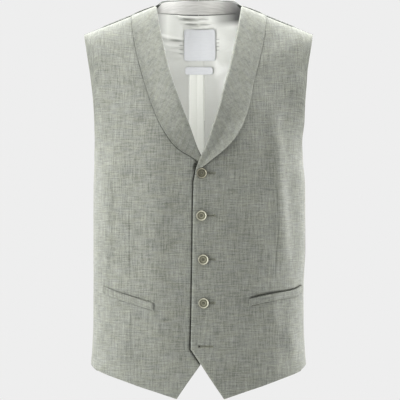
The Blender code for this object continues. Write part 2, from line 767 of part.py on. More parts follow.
def material(name, colour, roughness):
    made = bpy.data.materials.new(name)
    made.use_nodes = True
    shader = made.node_tree.nodes["Principled BSDF"]
    shader.inputs["Base Color"].default_value = (*colour, 1.0)
    shader.inputs["Roughness"].default_value = roughness
    shader.inputs["Metallic"].default_value = 0.0
    made.diffuse_color = (*colour, 1.0)
    return made


def build():
    for old in list(bpy.data.objects):
        bpy.data.objects.remove(old)
    linen = material("linen", (0.36, 0.38, 0.33), 0.9)
    satin = material("satin", (0.80, 0.81, 0.76), 0.4)
    back_satin = material("back_satin", (0.23, 0.245, 0.215), 0.45)
    band_cloth = material("band_cloth", (0.62, 0.61, 0.58), 0.7)
    horn = material("horn", (0.42, 0.40, 0.32), 0.45)
    woven_label = material("woven_label", (0.85, 0.86, 0.87), 0.6)
    for side, word in ((LEFT, "left"), (RIGHT, "right")):
        make_front("front_" + word, side, linen)
        make_collar("collar_" + word, side, linen)
        make_welt("welt_" + word, side, linen)
        make_back("back_" + word, side, back_satin)
    make_back_lining(satin)
    make_neck_band(band_cloth)
    make_label("label_main", LABEL_MAIN, woven_label)
    make_label("label_small", LABEL_SMALL, woven_label)
    for number, (x, z) in enumerate(BUTTONS, 1):
        on_side = RIGHT if number == len(BUTTONS) else LEFT
        make_button(f"button_{number}", x * MM, z * MM, on_side, horn)


build()
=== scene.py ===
"""Looks of the suit waistcoat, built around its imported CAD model.

Frame: metres, +Z up, the fronts face -Y and the wearer's left is +X. Each piece repeats the
surface of the solid that it stands for, with finer form: rolled edges, darts, folds, stitching.
A place on the body surface is a pair (turn, fall), as in the part's own source.
"""
from types import SimpleNamespace

import bpy
import numpy as np
from mathutils import Matrix, Vector


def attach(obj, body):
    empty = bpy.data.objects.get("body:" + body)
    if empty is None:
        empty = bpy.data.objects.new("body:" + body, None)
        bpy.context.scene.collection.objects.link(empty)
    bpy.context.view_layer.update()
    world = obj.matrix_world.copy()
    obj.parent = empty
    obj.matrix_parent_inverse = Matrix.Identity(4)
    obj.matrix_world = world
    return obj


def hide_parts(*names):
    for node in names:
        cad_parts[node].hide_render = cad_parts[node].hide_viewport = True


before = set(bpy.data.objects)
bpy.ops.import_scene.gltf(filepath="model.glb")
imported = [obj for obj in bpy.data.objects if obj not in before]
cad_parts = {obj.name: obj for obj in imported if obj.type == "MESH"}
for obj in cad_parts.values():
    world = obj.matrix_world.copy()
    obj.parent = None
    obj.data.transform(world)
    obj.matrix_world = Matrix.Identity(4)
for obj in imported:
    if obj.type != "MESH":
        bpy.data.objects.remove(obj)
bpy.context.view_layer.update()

MM = 0.001
FRONT, BACK = -1.0, 1.0          # sign of y of each half of the body surface
LEFT, RIGHT = 1.0, -1.0          # sign of x of each side of the garment, as worn
BOTH = LEFT                      # for a piece that lies across both sides, and isn't mirrored
MIRROR = {side: np.array([side, 1.0, 1.0]) for side in (LEFT, RIGHT)}    # own side to the world

# ---------------------------------------------------------------- driving sizes
SHOULDER_TIP_X = 183 * MM        # half of the shoulder width
NECK_HALF = 68 * MM              # centre line to neck point
SHOULDER_SLOPE = 0.40            # fall of the shoulder seam for each unit outwards
CROWN_DROP = 250 * MM            # height over which chest and back round over to the shoulder
UNDERARM_Z = -250 * MM
SQUARENESS = 2.4                 # exponent of the oval sections: 2 is an ellipse
ARMHOLE_FLARE = 62 * MM          # how far the section widens past the armhole's edge
ARMHOLE_ROUND = 1.25             # exponent of that widening: nearer to 1 is fuller at the underarm
FLARE_TOP = 1.2                  # share of the armhole's height up to which it widens
NECK_RISE = {FRONT: 21 * MM, BACK: 76 * MM}
NECK_ROUND = 1.5                 # exponent of that rise from neck point to centre
CROWN_ROUND = {FRONT: 0.55, BACK: 0.85}

FRONT_WALL = 1.8 * MM            # cloth, canvas and lining of a front
BACK_WALL = 1.3 * MM
LINING_WALL = 1 * MM
COLLAR_WALL = 1.4 * MM
COLLAR_TIP_WALL = 1 * MM
WELT_WALL = 1.3 * MM
LABEL_WALL = 1 * MM
PLEAT_RAISE = 0.9 * MM           # extra fold of lining along the centre back
SEAM_GAP = 0.3 * MM              # clear space between two pieces
LINING_GAP = 0.42 * MM           # the same between the back and what lines it
LAYER_GAP = 0.45 * MM            # the same where a finer piece lies on a coarser one
COLLAR_ROLL = 2.4 * MM           # how far the collar's fold stands past the front's edge
COLLAR_FLAT_WIDTH = 40 * MM      # narrower than this, the collar lies flatter on the front
COLLAR_TIP_SIZE = (2 * MM, 1.5 * MM)    # width and rise of its blunt lower end

SECTIONS = (
    # z, half width, front depth, back depth (mm)
    (-640, 174, 121, 112), (-574, 172, 124, 111), (-548, 169.8, 125.5, 108),
    (-500, 168, 127.5, 102), (-420, 167.8, 130, 97), (-340, 167.8, 133, 103),
    (-290, 167.6, 135, 112), (-250, 166.3, 136, 119), (-215, 164.3, 136, 123),
    (-180, 164.9, 135, 125), (-150, 166.9, 135, 125), (-118, 170.8, 135, 125),
    (-86, 175.9, 135, 125), (-46, 183, 135, 125), (0, 190, 135, 125), (100, 190, 135, 125),
)
CENTRE_LINE = (
    # z, x of the centre front, which hangs a little off the middle (mm)
    (-640, 2.8), (-600, 2.8), (-545, 4.2), (-200, 4.4), (-160, 3), (-120, 1), (0, 0.5),
)
NECK_EDGE = (
    # z, distance of the rolled neck edge from the centre line (mm)
    (-281, -11.8), (-264, -8.4), (-247, -3), (-229, 5.7), (-200, 15.7), (-170, 26.5), (-133, 38),
    (-100, 48), (-67, 55.4), (-34, 62.3), (0, 68),
)
CLOSING_EDGE = (
    # z, distance past the centre line (mm), from the lower corner up
    (-540, -16), (-500, -15.4), (-400, -13.7), (-320, -12.8), (-281, -11.8),
)
FRONT_POINT = (36.7, -617.5)     # tip of each front: distance from the centre line, z (mm)
FRONT_HEM = (
    # distance from the centre line, z (mm)
    (36.7, -617.5), (70, -606.8), (98, -598.2), (126, -589), (146, -583.2), (161, -578.3),
)
SIDE_HEM_Z = -571 * MM
BACK_HEM_Z = -574 * MM
COLLAR_EDGE = (
    # z, distance of the collar's outer edge from the centre line (mm)
    (-267, -9), (-257, 3.5), (-250, 12), (-243, 20.5), (-234, 31), (-221, 43.8), (-208, 53),
    (-188, 64), (-159, 74.8), (-133, 82), (-106, 89.5), (-73, 97.6), (-40, 103.8), (-15.2, 106),
)
BACK_NECK = (
    # x, z of the back neckline (mm)
    (0, 17.6), (22, 17.2), (40, 14.8), (54, 12.2), (62, 7.4), (68, 0),
)
BAND_END_X = 90 * MM             # where the neck band's seam meets the shoulder seam
BAND_SEAM_Z = -5.1 * MM          # the same seam at the centre back

LAP_LIFT = (
    # z, how far the left front stands out along its closing edge (mm)
    (-620, 3.4), (-575, 4.6), (-535, 5.2), (-480, 2.6), (-430, 2.2), (-320, 2.2), (-285, 3),
    (-265, 4.8), (-240, 4.8), (-215, 3.2), (-180, 1.2), (-120, 0),
)
LAP_SINK = (
    # z, how far the right front lies in along its closing edge (mm)
    (-620, 0.6), (-535, 1.2), (-470, 0.4), (-240, 0.3), (-150, 0),
)
LAP_FADE = (34 * MM, 92 * MM)    # distances from the closing edge where the lap ends

FOLDS = {
    # x and z of both ends, half width, height (mm); x is counted towards the own side
    LEFT: (
        (121.8, -478, 160, -568, 13, 2.4),
        (133, -250, 152, -430, 12, 1.4),
        (98, -500, 104, -600, 12, -0.9),
    ),
    RIGHT: (
        (118, -490, 128, -600, 14, 1.2),
        (150, -270, 148, -420, 12, 1),
        (88, -500, 84, -600, 12, -0.8),
    ),
}
BACK_FOLDS = (
    (38, -360, 104, -440, 15, -2),
    (52, -470, 118, -425, 13, -1.6),
    (96, -90, 108, -230, 14, 1.6),
)

BUTTONS = (
    # x, z of each button's centre (mm); the last is undone, under the left front
    (5, -268.1), (4.6, -333.3), (7.3, -401.1), (7.8, -468.3), (4.5, -535.2),
)
BUTTON_RADIUS = 8.6 * MM

WELT_TOP = {
    # distance from the middle, z of the welt's upper edge (mm), inner end first
    LEFT: (
        (78, -462.4), (84, -461), (111, -455.4), (150, -449.6), (163, -443.6),
    ),
    RIGHT: (
        (68.5, -468.8), (98, -460.6), (127, -452), (149, -444.2),
    ),
}
WELT_HEIGHT = 11.2 * MM
WELT_GAPE = {LEFT: 2 * MM, RIGHT: 0.5 * MM}    # how far its upper edge stands open

LABEL_MAIN = (2.2 * MM, -54.8 * MM, 55 * MM, 51.5 * MM)    # centre x, z, width, height
LABEL_SMALL = (1 * MM, -96.6 * MM, 47.5 * MM, 13 * MM)

# ---------------------------------------------------------------- curves and tables


def table_curve(rows, column=1):
    """Return a smooth function of the first column (mm in the table, metres outside)."""
    table = np.array(rows, float)
    place, value = table[:, 0] * MM, table[:, column] * MM
    return lambda at: monotone(place, value, at)


def monotone(place, value, at):
    """Interpolate with a cubic that never overshoots its points."""
    step = np.diff(place)
    slope = np.diff(value) / step
    tangent = np.concatenate(([slope[0]], np.zeros(len(slope) - 1), [slope[-1]]))
    for i in range(1, len(slope)):
        if slope[i - 1] * slope[i] > 0.0:
            near, far = 2 * step[i] + step[i - 1], step[i] + 2 * step[i - 1]
            tangent[i] = (near + far) / (near / slope[i - 1] + far / slope[i])
    at = np.clip(np.asarray(at, float), place[0], place[-1])
    i = np.clip(np.searchsorted(place, at) - 1, 0, len(step) - 1)
    t = (at - place[i]) / step[i]
    rise = value[i] * (2 * t**3 - 3 * t**2 + 1) + value[i + 1] * (3 * t**2 - 2 * t**3)
    return rise + step[i] * (tangent[i] * (t**3 - 2 * t**2 + t) + tangent[i + 1] * (t**3 - t**2))


def smooth_step(t):
    t = np.clip(t, 0.0, 1.0)
    return t * t * (3.0 - 2.0 * t)


def between(at, low, high, fade):
    """1 from low to high, and fading to 0 at both over a length."""
    return smooth_step((at - low) / fade) * smooth_step((high - at) / fade)


def bell(away):
    """1 at the middle, fading smoothly to both sides; away is counted in half widths."""
    return np.exp(-away ** 2)


def unit(v):
    return v / np.maximum(np.linalg.norm(v, axis=-1, keepdims=True), 1e-12)


def run_along(points):
    """Distance of each point along a line of points."""
    return np.concatenate(([0.0], np.cumsum(np.linalg.norm(np.diff(points, axis=0), axis=-1))))


def sampled(at, place, values):
    """Rows of values, interpolated at numbers between those of place."""
    return np.stack([np.interp(at, place, column) for column in values.T], -1)


def front_edge(z):
    """Distance of a front's neck edge, or closing edge, from the centre line."""
    return np.where(z > NECK_EDGE[0][0] * MM, neck_edge(z), closing_edge(z))


half_section = table_curve(SECTIONS)
depth_of = {FRONT: table_curve(SECTIONS, 2), BACK: table_curve(SECTIONS, 3)}
centre_line = table_curve(CENTRE_LINE)
neck_edge = table_curve(NECK_EDGE)
closing_edge = table_curve(CLOSING_EDGE)
lap_lift = table_curve(LAP_LIFT)
lap_sink = table_curve(LAP_SINK)
front_hem = table_curve(FRONT_HEM)
back_neck = table_curve(BACK_NECK)

# ---------------------------------------------------------------- body surface


def shoulder_line(x, half):
    """Height of the shoulder line; inside the neck it rises like a neck's root."""
    share = np.abs(x) / NECK_HALF
    inside = np.maximum(1.0 - share ** 2, 0.0)
    slope = np.where(share < 1.0, 0.5 * inside, 1.0 - share) * NECK_HALF * SHOULDER_SLOPE
    return slope + NECK_RISE[half] * inside ** NECK_ROUND


TIP_Z = -(SHOULDER_TIP_X - NECK_HALF) * SHOULDER_SLOPE


def half_width(z):
    """Half width of the oval section; above the underarm it widens past the armhole."""
    above = np.clip((z - UNDERARM_Z) / (TIP_Z - UNDERARM_Z), 0.0, FLARE_TOP)
    return half_section(z) + ARMHOLE_FLARE * above ** ARMHOLE_ROUND


def body_depth(x, z, half):
    """Distance in front of, or behind, the shoulder line, before the section rounds off."""
    t = np.clip((shoulder_line(x, half) - z) / CROWN_DROP, 0.0, 1.0)
    blend = CROWN_ROUND[half]
    crown = blend * np.sqrt(2 * t - t * t) + (1.0 - blend) * smooth_step(t)
    return depth_of[half](z) * crown


def place_on_body(x, z, half):
    """Turn and fall of the surface place at x, z."""
    turn = np.arcsin(np.clip(x / half_width(z), -1.0, 1.0))
    fall = np.sqrt(np.maximum(shoulder_line(x, half) - z, 0.0) / CROWN_DROP)
    return np.stack(np.broadcast_arrays(turn, fall), -1)


def oval_point(x, z, share, half):
    """Point of the body surface at x and z, when x is a share of the half width."""
    oval = (1.0 - np.clip(share, 0.0, 1.0) ** SQUARENESS) ** (1.0 / SQUARENESS)
    x, z = np.broadcast_arrays(x, z)
    return np.stack([x, half * body_depth(x, z, half) * oval, z], -1)


SURFACE_STEPS = 24               # rounds that settle a place's height
NORMAL_STEP = 2e-4               # distance in turn and fall over which a normal is measured


def body_point(place, half):
    """Point of the body surface at a turn and fall."""
    turn, fall = place[..., 0], place[..., 1]
    z = -CROWN_DROP * fall ** 2
    for _ in range(SURFACE_STEPS):
        x = half_width(z) * np.sin(turn)
        z = shoulder_line(x, half) - CROWN_DROP * fall ** 2
    return oval_point(x, z, np.abs(np.sin(turn)), half)


def body_seat(place, half):
    """Point of the body surface, and its unit normal, pointing out."""
    low = np.maximum(place - NORMAL_STEP, [-np.pi / 2, 1e-6])
    high = np.minimum(place + NORMAL_STEP, [np.pi / 2, np.inf])

    def point_at(turn, fall):
        return body_point(np.stack([turn[..., 0], fall[..., 1]], -1), half)
    along_turn = point_at(high, place) - point_at(low, place)
    along_fall = point_at(place, high) - point_at(place, low)
    return body_point(place, half), unit(np.cross(along_turn, along_fall) * half)


FOLD_FADE = 0.3                  # share of a fold's length over which each end fades


def fold_height(x, z, folds):
    """Sum of soft ridges and troughs, each along a straight line that fades at its ends."""
    height = np.zeros_like(x)
    for x0, z0, x1, z1, half_span, rise in folds:
        start = np.array([x0, z0]) * MM
        way = np.array([x1, z1]) * MM - start
        along = ((x - start[0]) * way[0] + (z - start[1]) * way[1]) / way.dot(way)
        across = ((x - start[0]) * way[1] - (z - start[1]) * way[0]) / np.sqrt(way.dot(way))
        height += rise * MM * between(along, 0.0, 1.0, FOLD_FADE) * bell(across / (half_span * MM))
    return height


# ---------------------------------------------------------------- finer form of the worn cloth

FINE_FOLDS = {
    # x and z of both ends, half width, height (mm); x is counted towards the own side
    LEFT: (
        (139, -240, 155, -440, 14, -4.4),
        (133, -465, 135, -525, 8, -2.2),
        (113.5, -140, 137, -445, 12, 4.6),
        (166, -95, 164, -218, 17, 3.4),
        (115, -452, 117, -508, 7, 1.9),
        (138, -505, 146, -570, 9, 1.5),
        (127, -512, 147, -590, 8, -0.9),
        (120.5, -535, 121.5, -600, 4.5, 0.7),
        (176, -40, 86, -118, 19, 2.4),
        (156, -96, 104, -152, 16, -1.2),
        (60, -230, 96, -330, 16, 0.8),
        (44, -300, 70, -420, 14, -0.6),
        (30, -236, 74, -262, 9, -0.9),
    ),
    RIGHT: (
        (131, -232, 130, -440, 5.5, -0.7),
        (141, -250, 141, -450, 7, 1.3),
        (113, -485, 114, -605, 7, 0.9),
        (66, -150, 60, -600, 20, 2.8),
        (100, -170, 112, -330, 16, -0.8),
        (40, -290, 58, -500, 16, -0.8),
        (128, -486, 140, -585, 7, -0.8),
        (176, -46, 86, -124, 20, 1.8),
    ),
}
SIDE_BULGE = (168, -225, 169, -455, 12, 3.2)    # of both layers at the left side seam
FINE_BACK_FOLDS = (
    (22, -300, 74, -420, 9, -2.6),
    (64, -400, 138, -455, 9, 3),
    (30, -500, 60, -600, 12, 2.8),
    (112, -300, 140, -420, 10, -2.7),
    (70, -70, 60, -170, 14, 1.6),
    (10, -440, 96, -478, 8, -2.3),
    (88, -150, 128, -250, 11, 2.6),
    (120, -470, 128, -560, 10, -2.2),
    (40, -210, 104, -286, 8, 1.9),
)
DARTS = {
    # z, x of the sewn line (mm), lower end first
    LEFT: (((-440, 119.6), (-418, 118.9), (-356, 121.8), (-285, 118.2)),),
    RIGHT: (
        ((-438, 105.6), (-387, 106), (-317, 106.8)),
        ((-650, 103.2), (-553, 103.4), (-477, 103.8)),
    ),
}
DART_HALF, DART_DEPTH = 0.9 * MM, 0.55 * MM
DART_FADE = 16 * MM
DART_LIP = (0.45, 3.4, 1.6)      # share of the depth by which one side rises, its place and half width
LAP_GROOVE = (
    # z, depth of the hollow along the lap's edge (mm)
    (-640, 8), (-545, 8), (-520, 7), (-470, 6), (-300, 5.5), (-268, 6), (-256, 9), (-248, 4),
    (-236, 0), (-230, 0),
)
LAP_GROOVE_HALF = 1.2 * MM
LAP_GROOVE_PLACE = 0.25 * MM     # distance of its bottom from the lap's edge
LAP_BREATHE = 0.7 * MM           # how far the lap's edge lifts midway between two buttons
LAP_BREATHE_SPAN = 26 * MM       # distance from the edge over which that dies out
LAP_PRESS, LAP_PRESS_HALF = 0.9 * MM, 1.7 * MM    # how far the edge itself is pressed down
# the hollow below the collar's tip: its middle, how far it leans out for each unit up, and its half sizes
NOTCH_X, NOTCH_Z, NOTCH_LEAN = 4.2 * MM, -256.5 * MM, -0.35
NOTCH_HALF, NOTCH_TALL, NOTCH_DEPTH = 2 * MM, 5.5 * MM, 10 * MM
SLIT_DEPTH = {LEFT: 7 * MM, RIGHT: 2.4 * MM}
SLIT_SHARE = {LEFT: 0.45, RIGHT: 0.3}    # of that depth, away from its middle
WELT_SEAM = {LEFT: 2 * MM, RIGHT: 0.9 * MM}    # pressed line along a welt's lower edge
WELT_SEAM_HALF = 1 * MM
SLIT_HALF = {LEFT: 1.3 * MM, RIGHT: 1 * MM}
SLIT_PLACE = {LEFT: 0.7 * MM, RIGHT: 0.4 * MM}    # above the welt's upper edge
SLIT_FADE = 7 * MM
SLIT_WIDEST_X, SLIT_WIDEST_HALF = 104 * MM, 20 * MM

COLLAR_GROOVE = {LEFT: 3.2 * MM, RIGHT: 3.4 * MM}    # depth of the hollow under a collar's edge
COLLAR_GROOVE_HALF, COLLAR_GROOVE_PLACE = 1.25 * MM, 0.35 * MM
TIP_RISE = {LEFT: 0.0, RIGHT: 6 * MM}
TIP_RISE_FROM = (-226 * MM, 30 * MM)    # the height where it starts, and the way down it takes
TIP_RISE_STEPS = 8               # rounds that settle which height of the cut edge lies at a height
COLLAR_GROOVE_ENDS = (-262 * MM, -14 * MM)
COLLAR_GROOVE_FADE = 14 * MM

lap_groove = table_curve(LAP_GROOVE)
collar_edge = table_curve(COLLAR_EDGE)


def front_offset(x, z, side):
    """How far the solid front's outer face stands off the body surface, at x and z."""
    from_edge = x - front_edge(z) - side * centre_line(z)
    near = 1.0 - smooth_step((from_edge - LAP_FADE[0]) / (LAP_FADE[1] - LAP_FADE[0]))
    lap = lap_lift(z) if side == LEFT else -lap_sink(z)
    return lap * near + fold_height(x, z, FOLDS[side])


def lap_edge(z):
    """X of the lap's edge: the left front's closing edge with its neck edge and cutaway."""
    corner_z = CLOSING_EDGE[0][0] * MM
    share = np.clip((corner_z - z) / (corner_z - FRONT_POINT[1] * MM), 0.0, 1.0)
    return front_edge(z) + (FRONT_POINT[0] - CLOSING_EDGE[0][1]) * MM * share + centre_line(z)


def front_relief(x, z, side):
    """How far a front's cloth stands off: the solid's form with folds, darts, slit and hollows."""
    height = front_offset(x, z, side) + fold_height(x, z, FINE_FOLDS[side])
    if side == LEFT:
        height += fold_height(x, z, (SIDE_BULGE,))
    height -= sum(seam_line(x, z, rows) for rows in DARTS[side]) + collar_groove(x, z, side)
    return height + lap_form(x, z, side) - pocket_slit(x, z, side)


def seam_line(x, z, rows):
    """Depth of a pressed seam along a nearly upright line, which fades at its ends."""
    at_z, at_x = np.array(rows).T * MM
    away = (x - np.interp(z, at_z, at_x)) / DART_HALF
    lip, lip_place, lip_half = DART_LIP
    form = bell(away) - lip * bell((away - lip_place) / lip_half)
    return DART_DEPTH * between(z, at_z[0], at_z[-1], DART_FADE) * form


def tip_rise(z, side):
    """How much higher than its cut the collar's edge lies towards its lower tip."""
    start, span = TIP_RISE_FROM
    return TIP_RISE[side] * smooth_step((start - z) / span)


def off_collar(x, z, side):
    """Distance outwards from the collar's outer edge."""
    low = z
    for _ in range(TIP_RISE_STEPS):
        low = z - tip_rise(low, side)
    slope = (collar_edge(low + MM) - collar_edge(low - MM)) / (2 * MM)
    return (x - side * centre_line(low) - collar_edge(low)) / np.sqrt(1.0 + slope ** 2)


def collar_groove(x, z, side):
    """Depth of the narrow hollow that the collar's edge is pressed into."""
    away = (off_collar(x, z, side) + COLLAR_GROOVE_PLACE) / COLLAR_GROOVE_HALF
    return COLLAR_GROOVE[side] * between(z, *COLLAR_GROOVE_ENDS, COLLAR_GROOVE_FADE) * bell(away)


def lap_form(x, z, side):
    """Height that the lap adds: the left lifts between its buttons, the right is hollow below."""
    if side == RIGHT:
        beside = x - NOTCH_X - NOTCH_LEAN * (z - NOTCH_Z)
        notch = bell(beside / NOTCH_HALF) * bell((z - NOTCH_Z) / NOTCH_TALL)
        groove = lap_groove(z) * bell((x + lap_edge(z) - LAP_GROOVE_PLACE) / LAP_GROOVE_HALF)
        return -np.maximum(groove, NOTCH_DEPTH * notch)
    near = 1.0 - smooth_step((x - lap_edge(z)) / LAP_BREATHE_SPAN)
    top, pitch = BUTTONS[0][1] * MM, (BUTTONS[0][1] - BUTTONS[3][1]) * MM / 3.0
    midway = np.sin(np.pi * (top - z) / pitch) ** 2
    inside = between(z, BUTTONS[-1][1] * MM, top + pitch, pitch)
    press = LAP_PRESS * bell((x - lap_edge(z)) / LAP_PRESS_HALF)
    return LAP_BREATHE * near * midway * inside - press


def pocket_slit(x, z, side):
    """Depth of the pocket's mouth above its welt."""
    fade = between(x, *welt_ends(side), SLIT_FADE)
    line = table_curve(WELT_TOP[side])(x) + SLIT_PLACE[side]
    widest = SLIT_SHARE[side] + (1.0 - SLIT_SHARE[side]) * bell((x - SLIT_WIDEST_X) / SLIT_WIDEST_HALF)
    foot = WELT_SEAM[side] * fade * bell((z - line + WELT_HEIGHT) / WELT_SEAM_HALF)
    return SLIT_DEPTH[side] * widest * fade * bell((z - line) / SLIT_HALF[side]) + foot


def surface_at(x, z, half):
    """Point of the body surface at x and z."""
    return oval_point(x, z, np.abs(x) / half_width(z), half)


def path_length(points):
    return np.linalg.norm(np.diff(points, axis=0), axis=-1).sum(0)


GRAIN_BASE_Z = -300 * MM         # height from which lengths up and down the cloth are counted
GRAIN_STEPS = np.linspace(0.0, 1.0, 21)


def grain_of(point, half):
    """Place of each point on the flat cloth: metres round from the centre, and up."""
    x, z = point[..., 0], point[..., 2]
    steps = GRAIN_STEPS.reshape((-1,) + (1,) * x.ndim)
    turn = np.arcsin(np.clip(x / half_width(z), -1.0, 1.0))
    around = path_length(surface_at(half_width(z) * np.sin(turn * steps), z + 0.0 * steps, half))
    closing = 1.0 - (1.0 - steps) ** 2
    up = path_length(surface_at(x + 0.0 * steps, GRAIN_BASE_Z + (z - GRAIN_BASE_Z) * closing, half))
    return np.stack([around * np.sign(x), up * np.sign(z - GRAIN_BASE_Z)], -1)


# ---------------------------------------------------------------- shells


def graded(start, stop, step, finer=()):
    """Values from start to stop, spaced by step, and closer inside the ranges of finer."""
    values = [start]
    while values[-1] < stop - 1e-9:
        here = [fine for low, high, fine in finer if low <= values[-1] <= high]
        values.append(values[-1] + min([step] + here))
    run = np.array(values) - start
    return start + run * (stop - start) / run[-1]


def border_of(rows, columns):
    """Row and column numbers round a grid's border, and of their neighbours one step inside."""
    r = np.concatenate([np.zeros(columns - 1, int), np.arange(rows - 1),
                        np.full(columns - 1, rows - 1), np.arange(rows - 1, 0, -1)])
    c = np.concatenate([np.arange(columns - 1), np.full(rows - 1, columns - 1),
                        np.arange(columns - 1, 0, -1), np.zeros(rows - 1, int)])
    return r, c, np.clip(r, 1, rows - 2), np.clip(c, 1, columns - 2)


ROLL_ANGLES = (np.pi / 4, 0.0, -np.pi / 4)    # of the points round a rolled border
ROLL_REACH = 0.6                 # most of a border cell's width that the roll may take up
ROLL_GRAIN = 0.4                 # cloth that each step round the roll takes, as a share of its radius


def shell(name, outer, inner, grain, materials, inner_slot=None):
    """A closed sheet between two grids of points, with its border rolled round."""
    rows, columns = outer.shape[:2]
    r, c, near_r, near_c = border_of(rows, columns)
    middle, half_wall = (outer + inner) / 2, (outer - inner) / 2
    at, thick = middle[r, c], half_wall[r, c]
    tangent = np.roll(at, -1, 0) - np.roll(at, 1, 0)
    out = unit(np.cross(tangent, thick))
    inward = middle[near_r, near_c] - at
    out *= -np.sign((out * inward).sum(-1, keepdims=True))
    reach = np.minimum(np.linalg.norm(thick, axis=-1), ROLL_REACH * np.linalg.norm(inward, axis=-1))
    out = out * reach[:, None]
    outer, inner = outer.copy(), inner.copy()
    outer[r, c] -= out
    inner[r, c] -= out
    rings = [at - out + thick * np.sin(angle) + out * np.cos(angle) for angle in ROLL_ANGLES]
    count, loop = rows * columns, len(r)
    points = np.concatenate([outer.reshape(-1, 3), inner.reshape(-1, 3)] + rings)
    edge = r * columns + c
    ring_numbers = [edge] + [2 * count + k * loop + np.arange(loop) for k in range(len(rings))]
    ring_numbers.append(count + edge)
    quad = np.arange(count).reshape(rows, columns)
    faces = np.stack([quad[:-1, :-1], quad[:-1, 1:], quad[1:, 1:], quad[1:, :-1]], -1).reshape(-1, 4)
    rim = [np.stack([np.roll(a, -1), a, b, np.roll(b, -1)], -1)
           for a, b in zip(ring_numbers, ring_numbers[1:])]
    every = np.concatenate([faces, faces[:, ::-1] + count] + rim)
    corner = outer.reshape(-1, 3)[faces]
    facing = np.cross(corner[:, 1] - corner[:, 0], corner[:, 3] - corner[:, 0])
    if (facing * half_wall[:-1, :-1].reshape(-1, 3)).sum() < 0.0:
        every = every[:, ::-1]
    step = unit(grain[r, c] - grain[near_r, near_c]) * reach[:, None]
    roll = [grain[r, c] + step * (k + 1) * ROLL_GRAIN for k in range(len(rings))]
    flat = np.concatenate([grain.reshape(-1, 2), grain.reshape(-1, 2)] + roll)
    piece = mesh_piece(name, points, every.tolist(), *materials)
    layer = piece.data.uv_layers.new(name="grain")
    layer.uv.foreach_set("vector", flat[every.reshape(-1)].astype(np.float32).reshape(-1))
    slots = np.zeros(len(every), np.int32)
    if inner_slot is not None:
        slots[len(faces):2 * len(faces)] = inner_slot.reshape(-1)
    piece.data.polygons.foreach_set("material_index", slots)
    return piece


def linked(name, data):
    """A new object of a mesh, lamp or camera, placed in the scene."""
    made = bpy.data.objects.new(name, data)
    bpy.context.collection.objects.link(made)
    return made


def mesh_piece(name, points, faces, *materials):
    """A smooth-shaded mesh object."""
    mesh = bpy.data.meshes.new(name)
    mesh.from_pydata(points.reshape(-1, 3).tolist(), [], [tuple(face) for face in faces])
    mesh.shade_smooth()
    for material in materials:
        mesh.materials.append(material)
    return linked(name, mesh)


def walls_of(places, half, side, offset, thickness):
    """Outer and inner points of a wall whose outer face stands offset off the body, and their grain."""
    point, normal = body_seat(places, half)
    outer = point + normal * offset(point[..., 0], point[..., 2])[..., None]
    inner = outer - normal * np.asarray(thickness)[..., None]
    return outer * MIRROR[side], inner * MIRROR[side], grain_of(point, half) * MIRROR[side][:2]


# ---------------------------------------------------------------- grids finer than the solids'

CUTAWAY_ROWS, EDGE_ROWS = 4, 11  # up the cutaway, and up the closing edge
# share of the neck edge's fall at each row above them
NECK_ROW_FALL = (1.0, 0.9, 0.8, 0.7, 0.6, 0.51, 0.42, 0.34, 0.26, 0.2, 0.15, 0.1, 0.05, 0.0)
SEAM_ROWS = CUTAWAY_ROWS + EDGE_ROWS
ALL_ROWS = SEAM_ROWS + len(NECK_ROW_FALL) - 1
SIDE_GAP_TURN, SHOULDER_GAP_FALL = 0.0006, 0.0016    # keep front and back apart along the seams
ARMHOLE_STEPS = 400              # points of the armhole that its rows are spaced along
ROLL_LOW_Z, ROLL_RISE = -268 * MM, 22 * MM    # where the collar's fold starts, and grows over


def front_edge_at(row, side):
    """Places up one front's cutaway, closing edge and neck edge, at row numbers."""
    corner = np.array([CLOSING_EDGE[0][1], CLOSING_EDGE[0][0]]) * MM
    tip = np.array(FRONT_POINT) * MM
    cut = np.clip(row / CUTAWAY_ROWS, 0.0, 1.0)
    edge = np.clip((row - CUTAWAY_ROWS) / EDGE_ROWS, 0.0, 1.0)
    fall = np.interp(row - SEAM_ROWS, np.arange(len(NECK_ROW_FALL)), NECK_ROW_FALL)
    neck_z = NECK_EDGE[0][0] * MM * fall ** 2
    edge_z = corner[1] + (neck_z[0] - corner[1]) * edge
    inset = COLLAR_ROLL * smooth_step((neck_z - ROLL_LOW_Z) / ROLL_RISE)
    x = np.where(row < CUTAWAY_ROWS, tip[0] + (corner[0] - tip[0]) * cut,
                 np.where(row < SEAM_ROWS, closing_edge(edge_z), neck_edge(neck_z) + inset))
    z = np.where(row < CUTAWAY_ROWS, tip[1] + (corner[1] - tip[1]) * cut,
                 np.where(row < SEAM_ROWS, edge_z, neck_z))
    places = place_on_body(x + side * centre_line(z), z, FRONT)
    places[-1, 1] = SHOULDER_GAP_FALL
    return places


def side_edge_at(row, half, hem_z):
    """Places up the side seam and the armhole, at row numbers."""
    z = hem_z + (UNDERARM_Z - hem_z) * np.clip(row / SEAM_ROWS, 0.0, 1.0)
    fall = np.sqrt((shoulder_line(half_width(z), half) - z) / CROWN_DROP)
    seam = np.stack([np.full(len(z), np.pi / 2 - SIDE_GAP_TURN), fall], -1)
    z = UNDERARM_Z + (TIP_Z - UNDERARM_Z) * np.linspace(0.0, 1.0, ARMHOLE_STEPS) ** 2
    armhole = place_on_body(half_section(z), z, half)
    armhole[-1] = (np.arcsin(SHOULDER_TIP_X / half_width(TIP_Z)), 0.0)
    run = run_along(body_point(armhole, half))
    at = run[-1] * np.clip((row - SEAM_ROWS) / (ALL_ROWS - SEAM_ROWS), 0.0, 1.0)
    over = sampled(at, run, armhole)
    over[-1, 1] = SHOULDER_GAP_FALL
    over[:, 0] = np.minimum(over[:, 0], np.pi / 2 - SIDE_GAP_TURN)
    return np.where((row <= SEAM_ROWS)[:, None], seam, over)


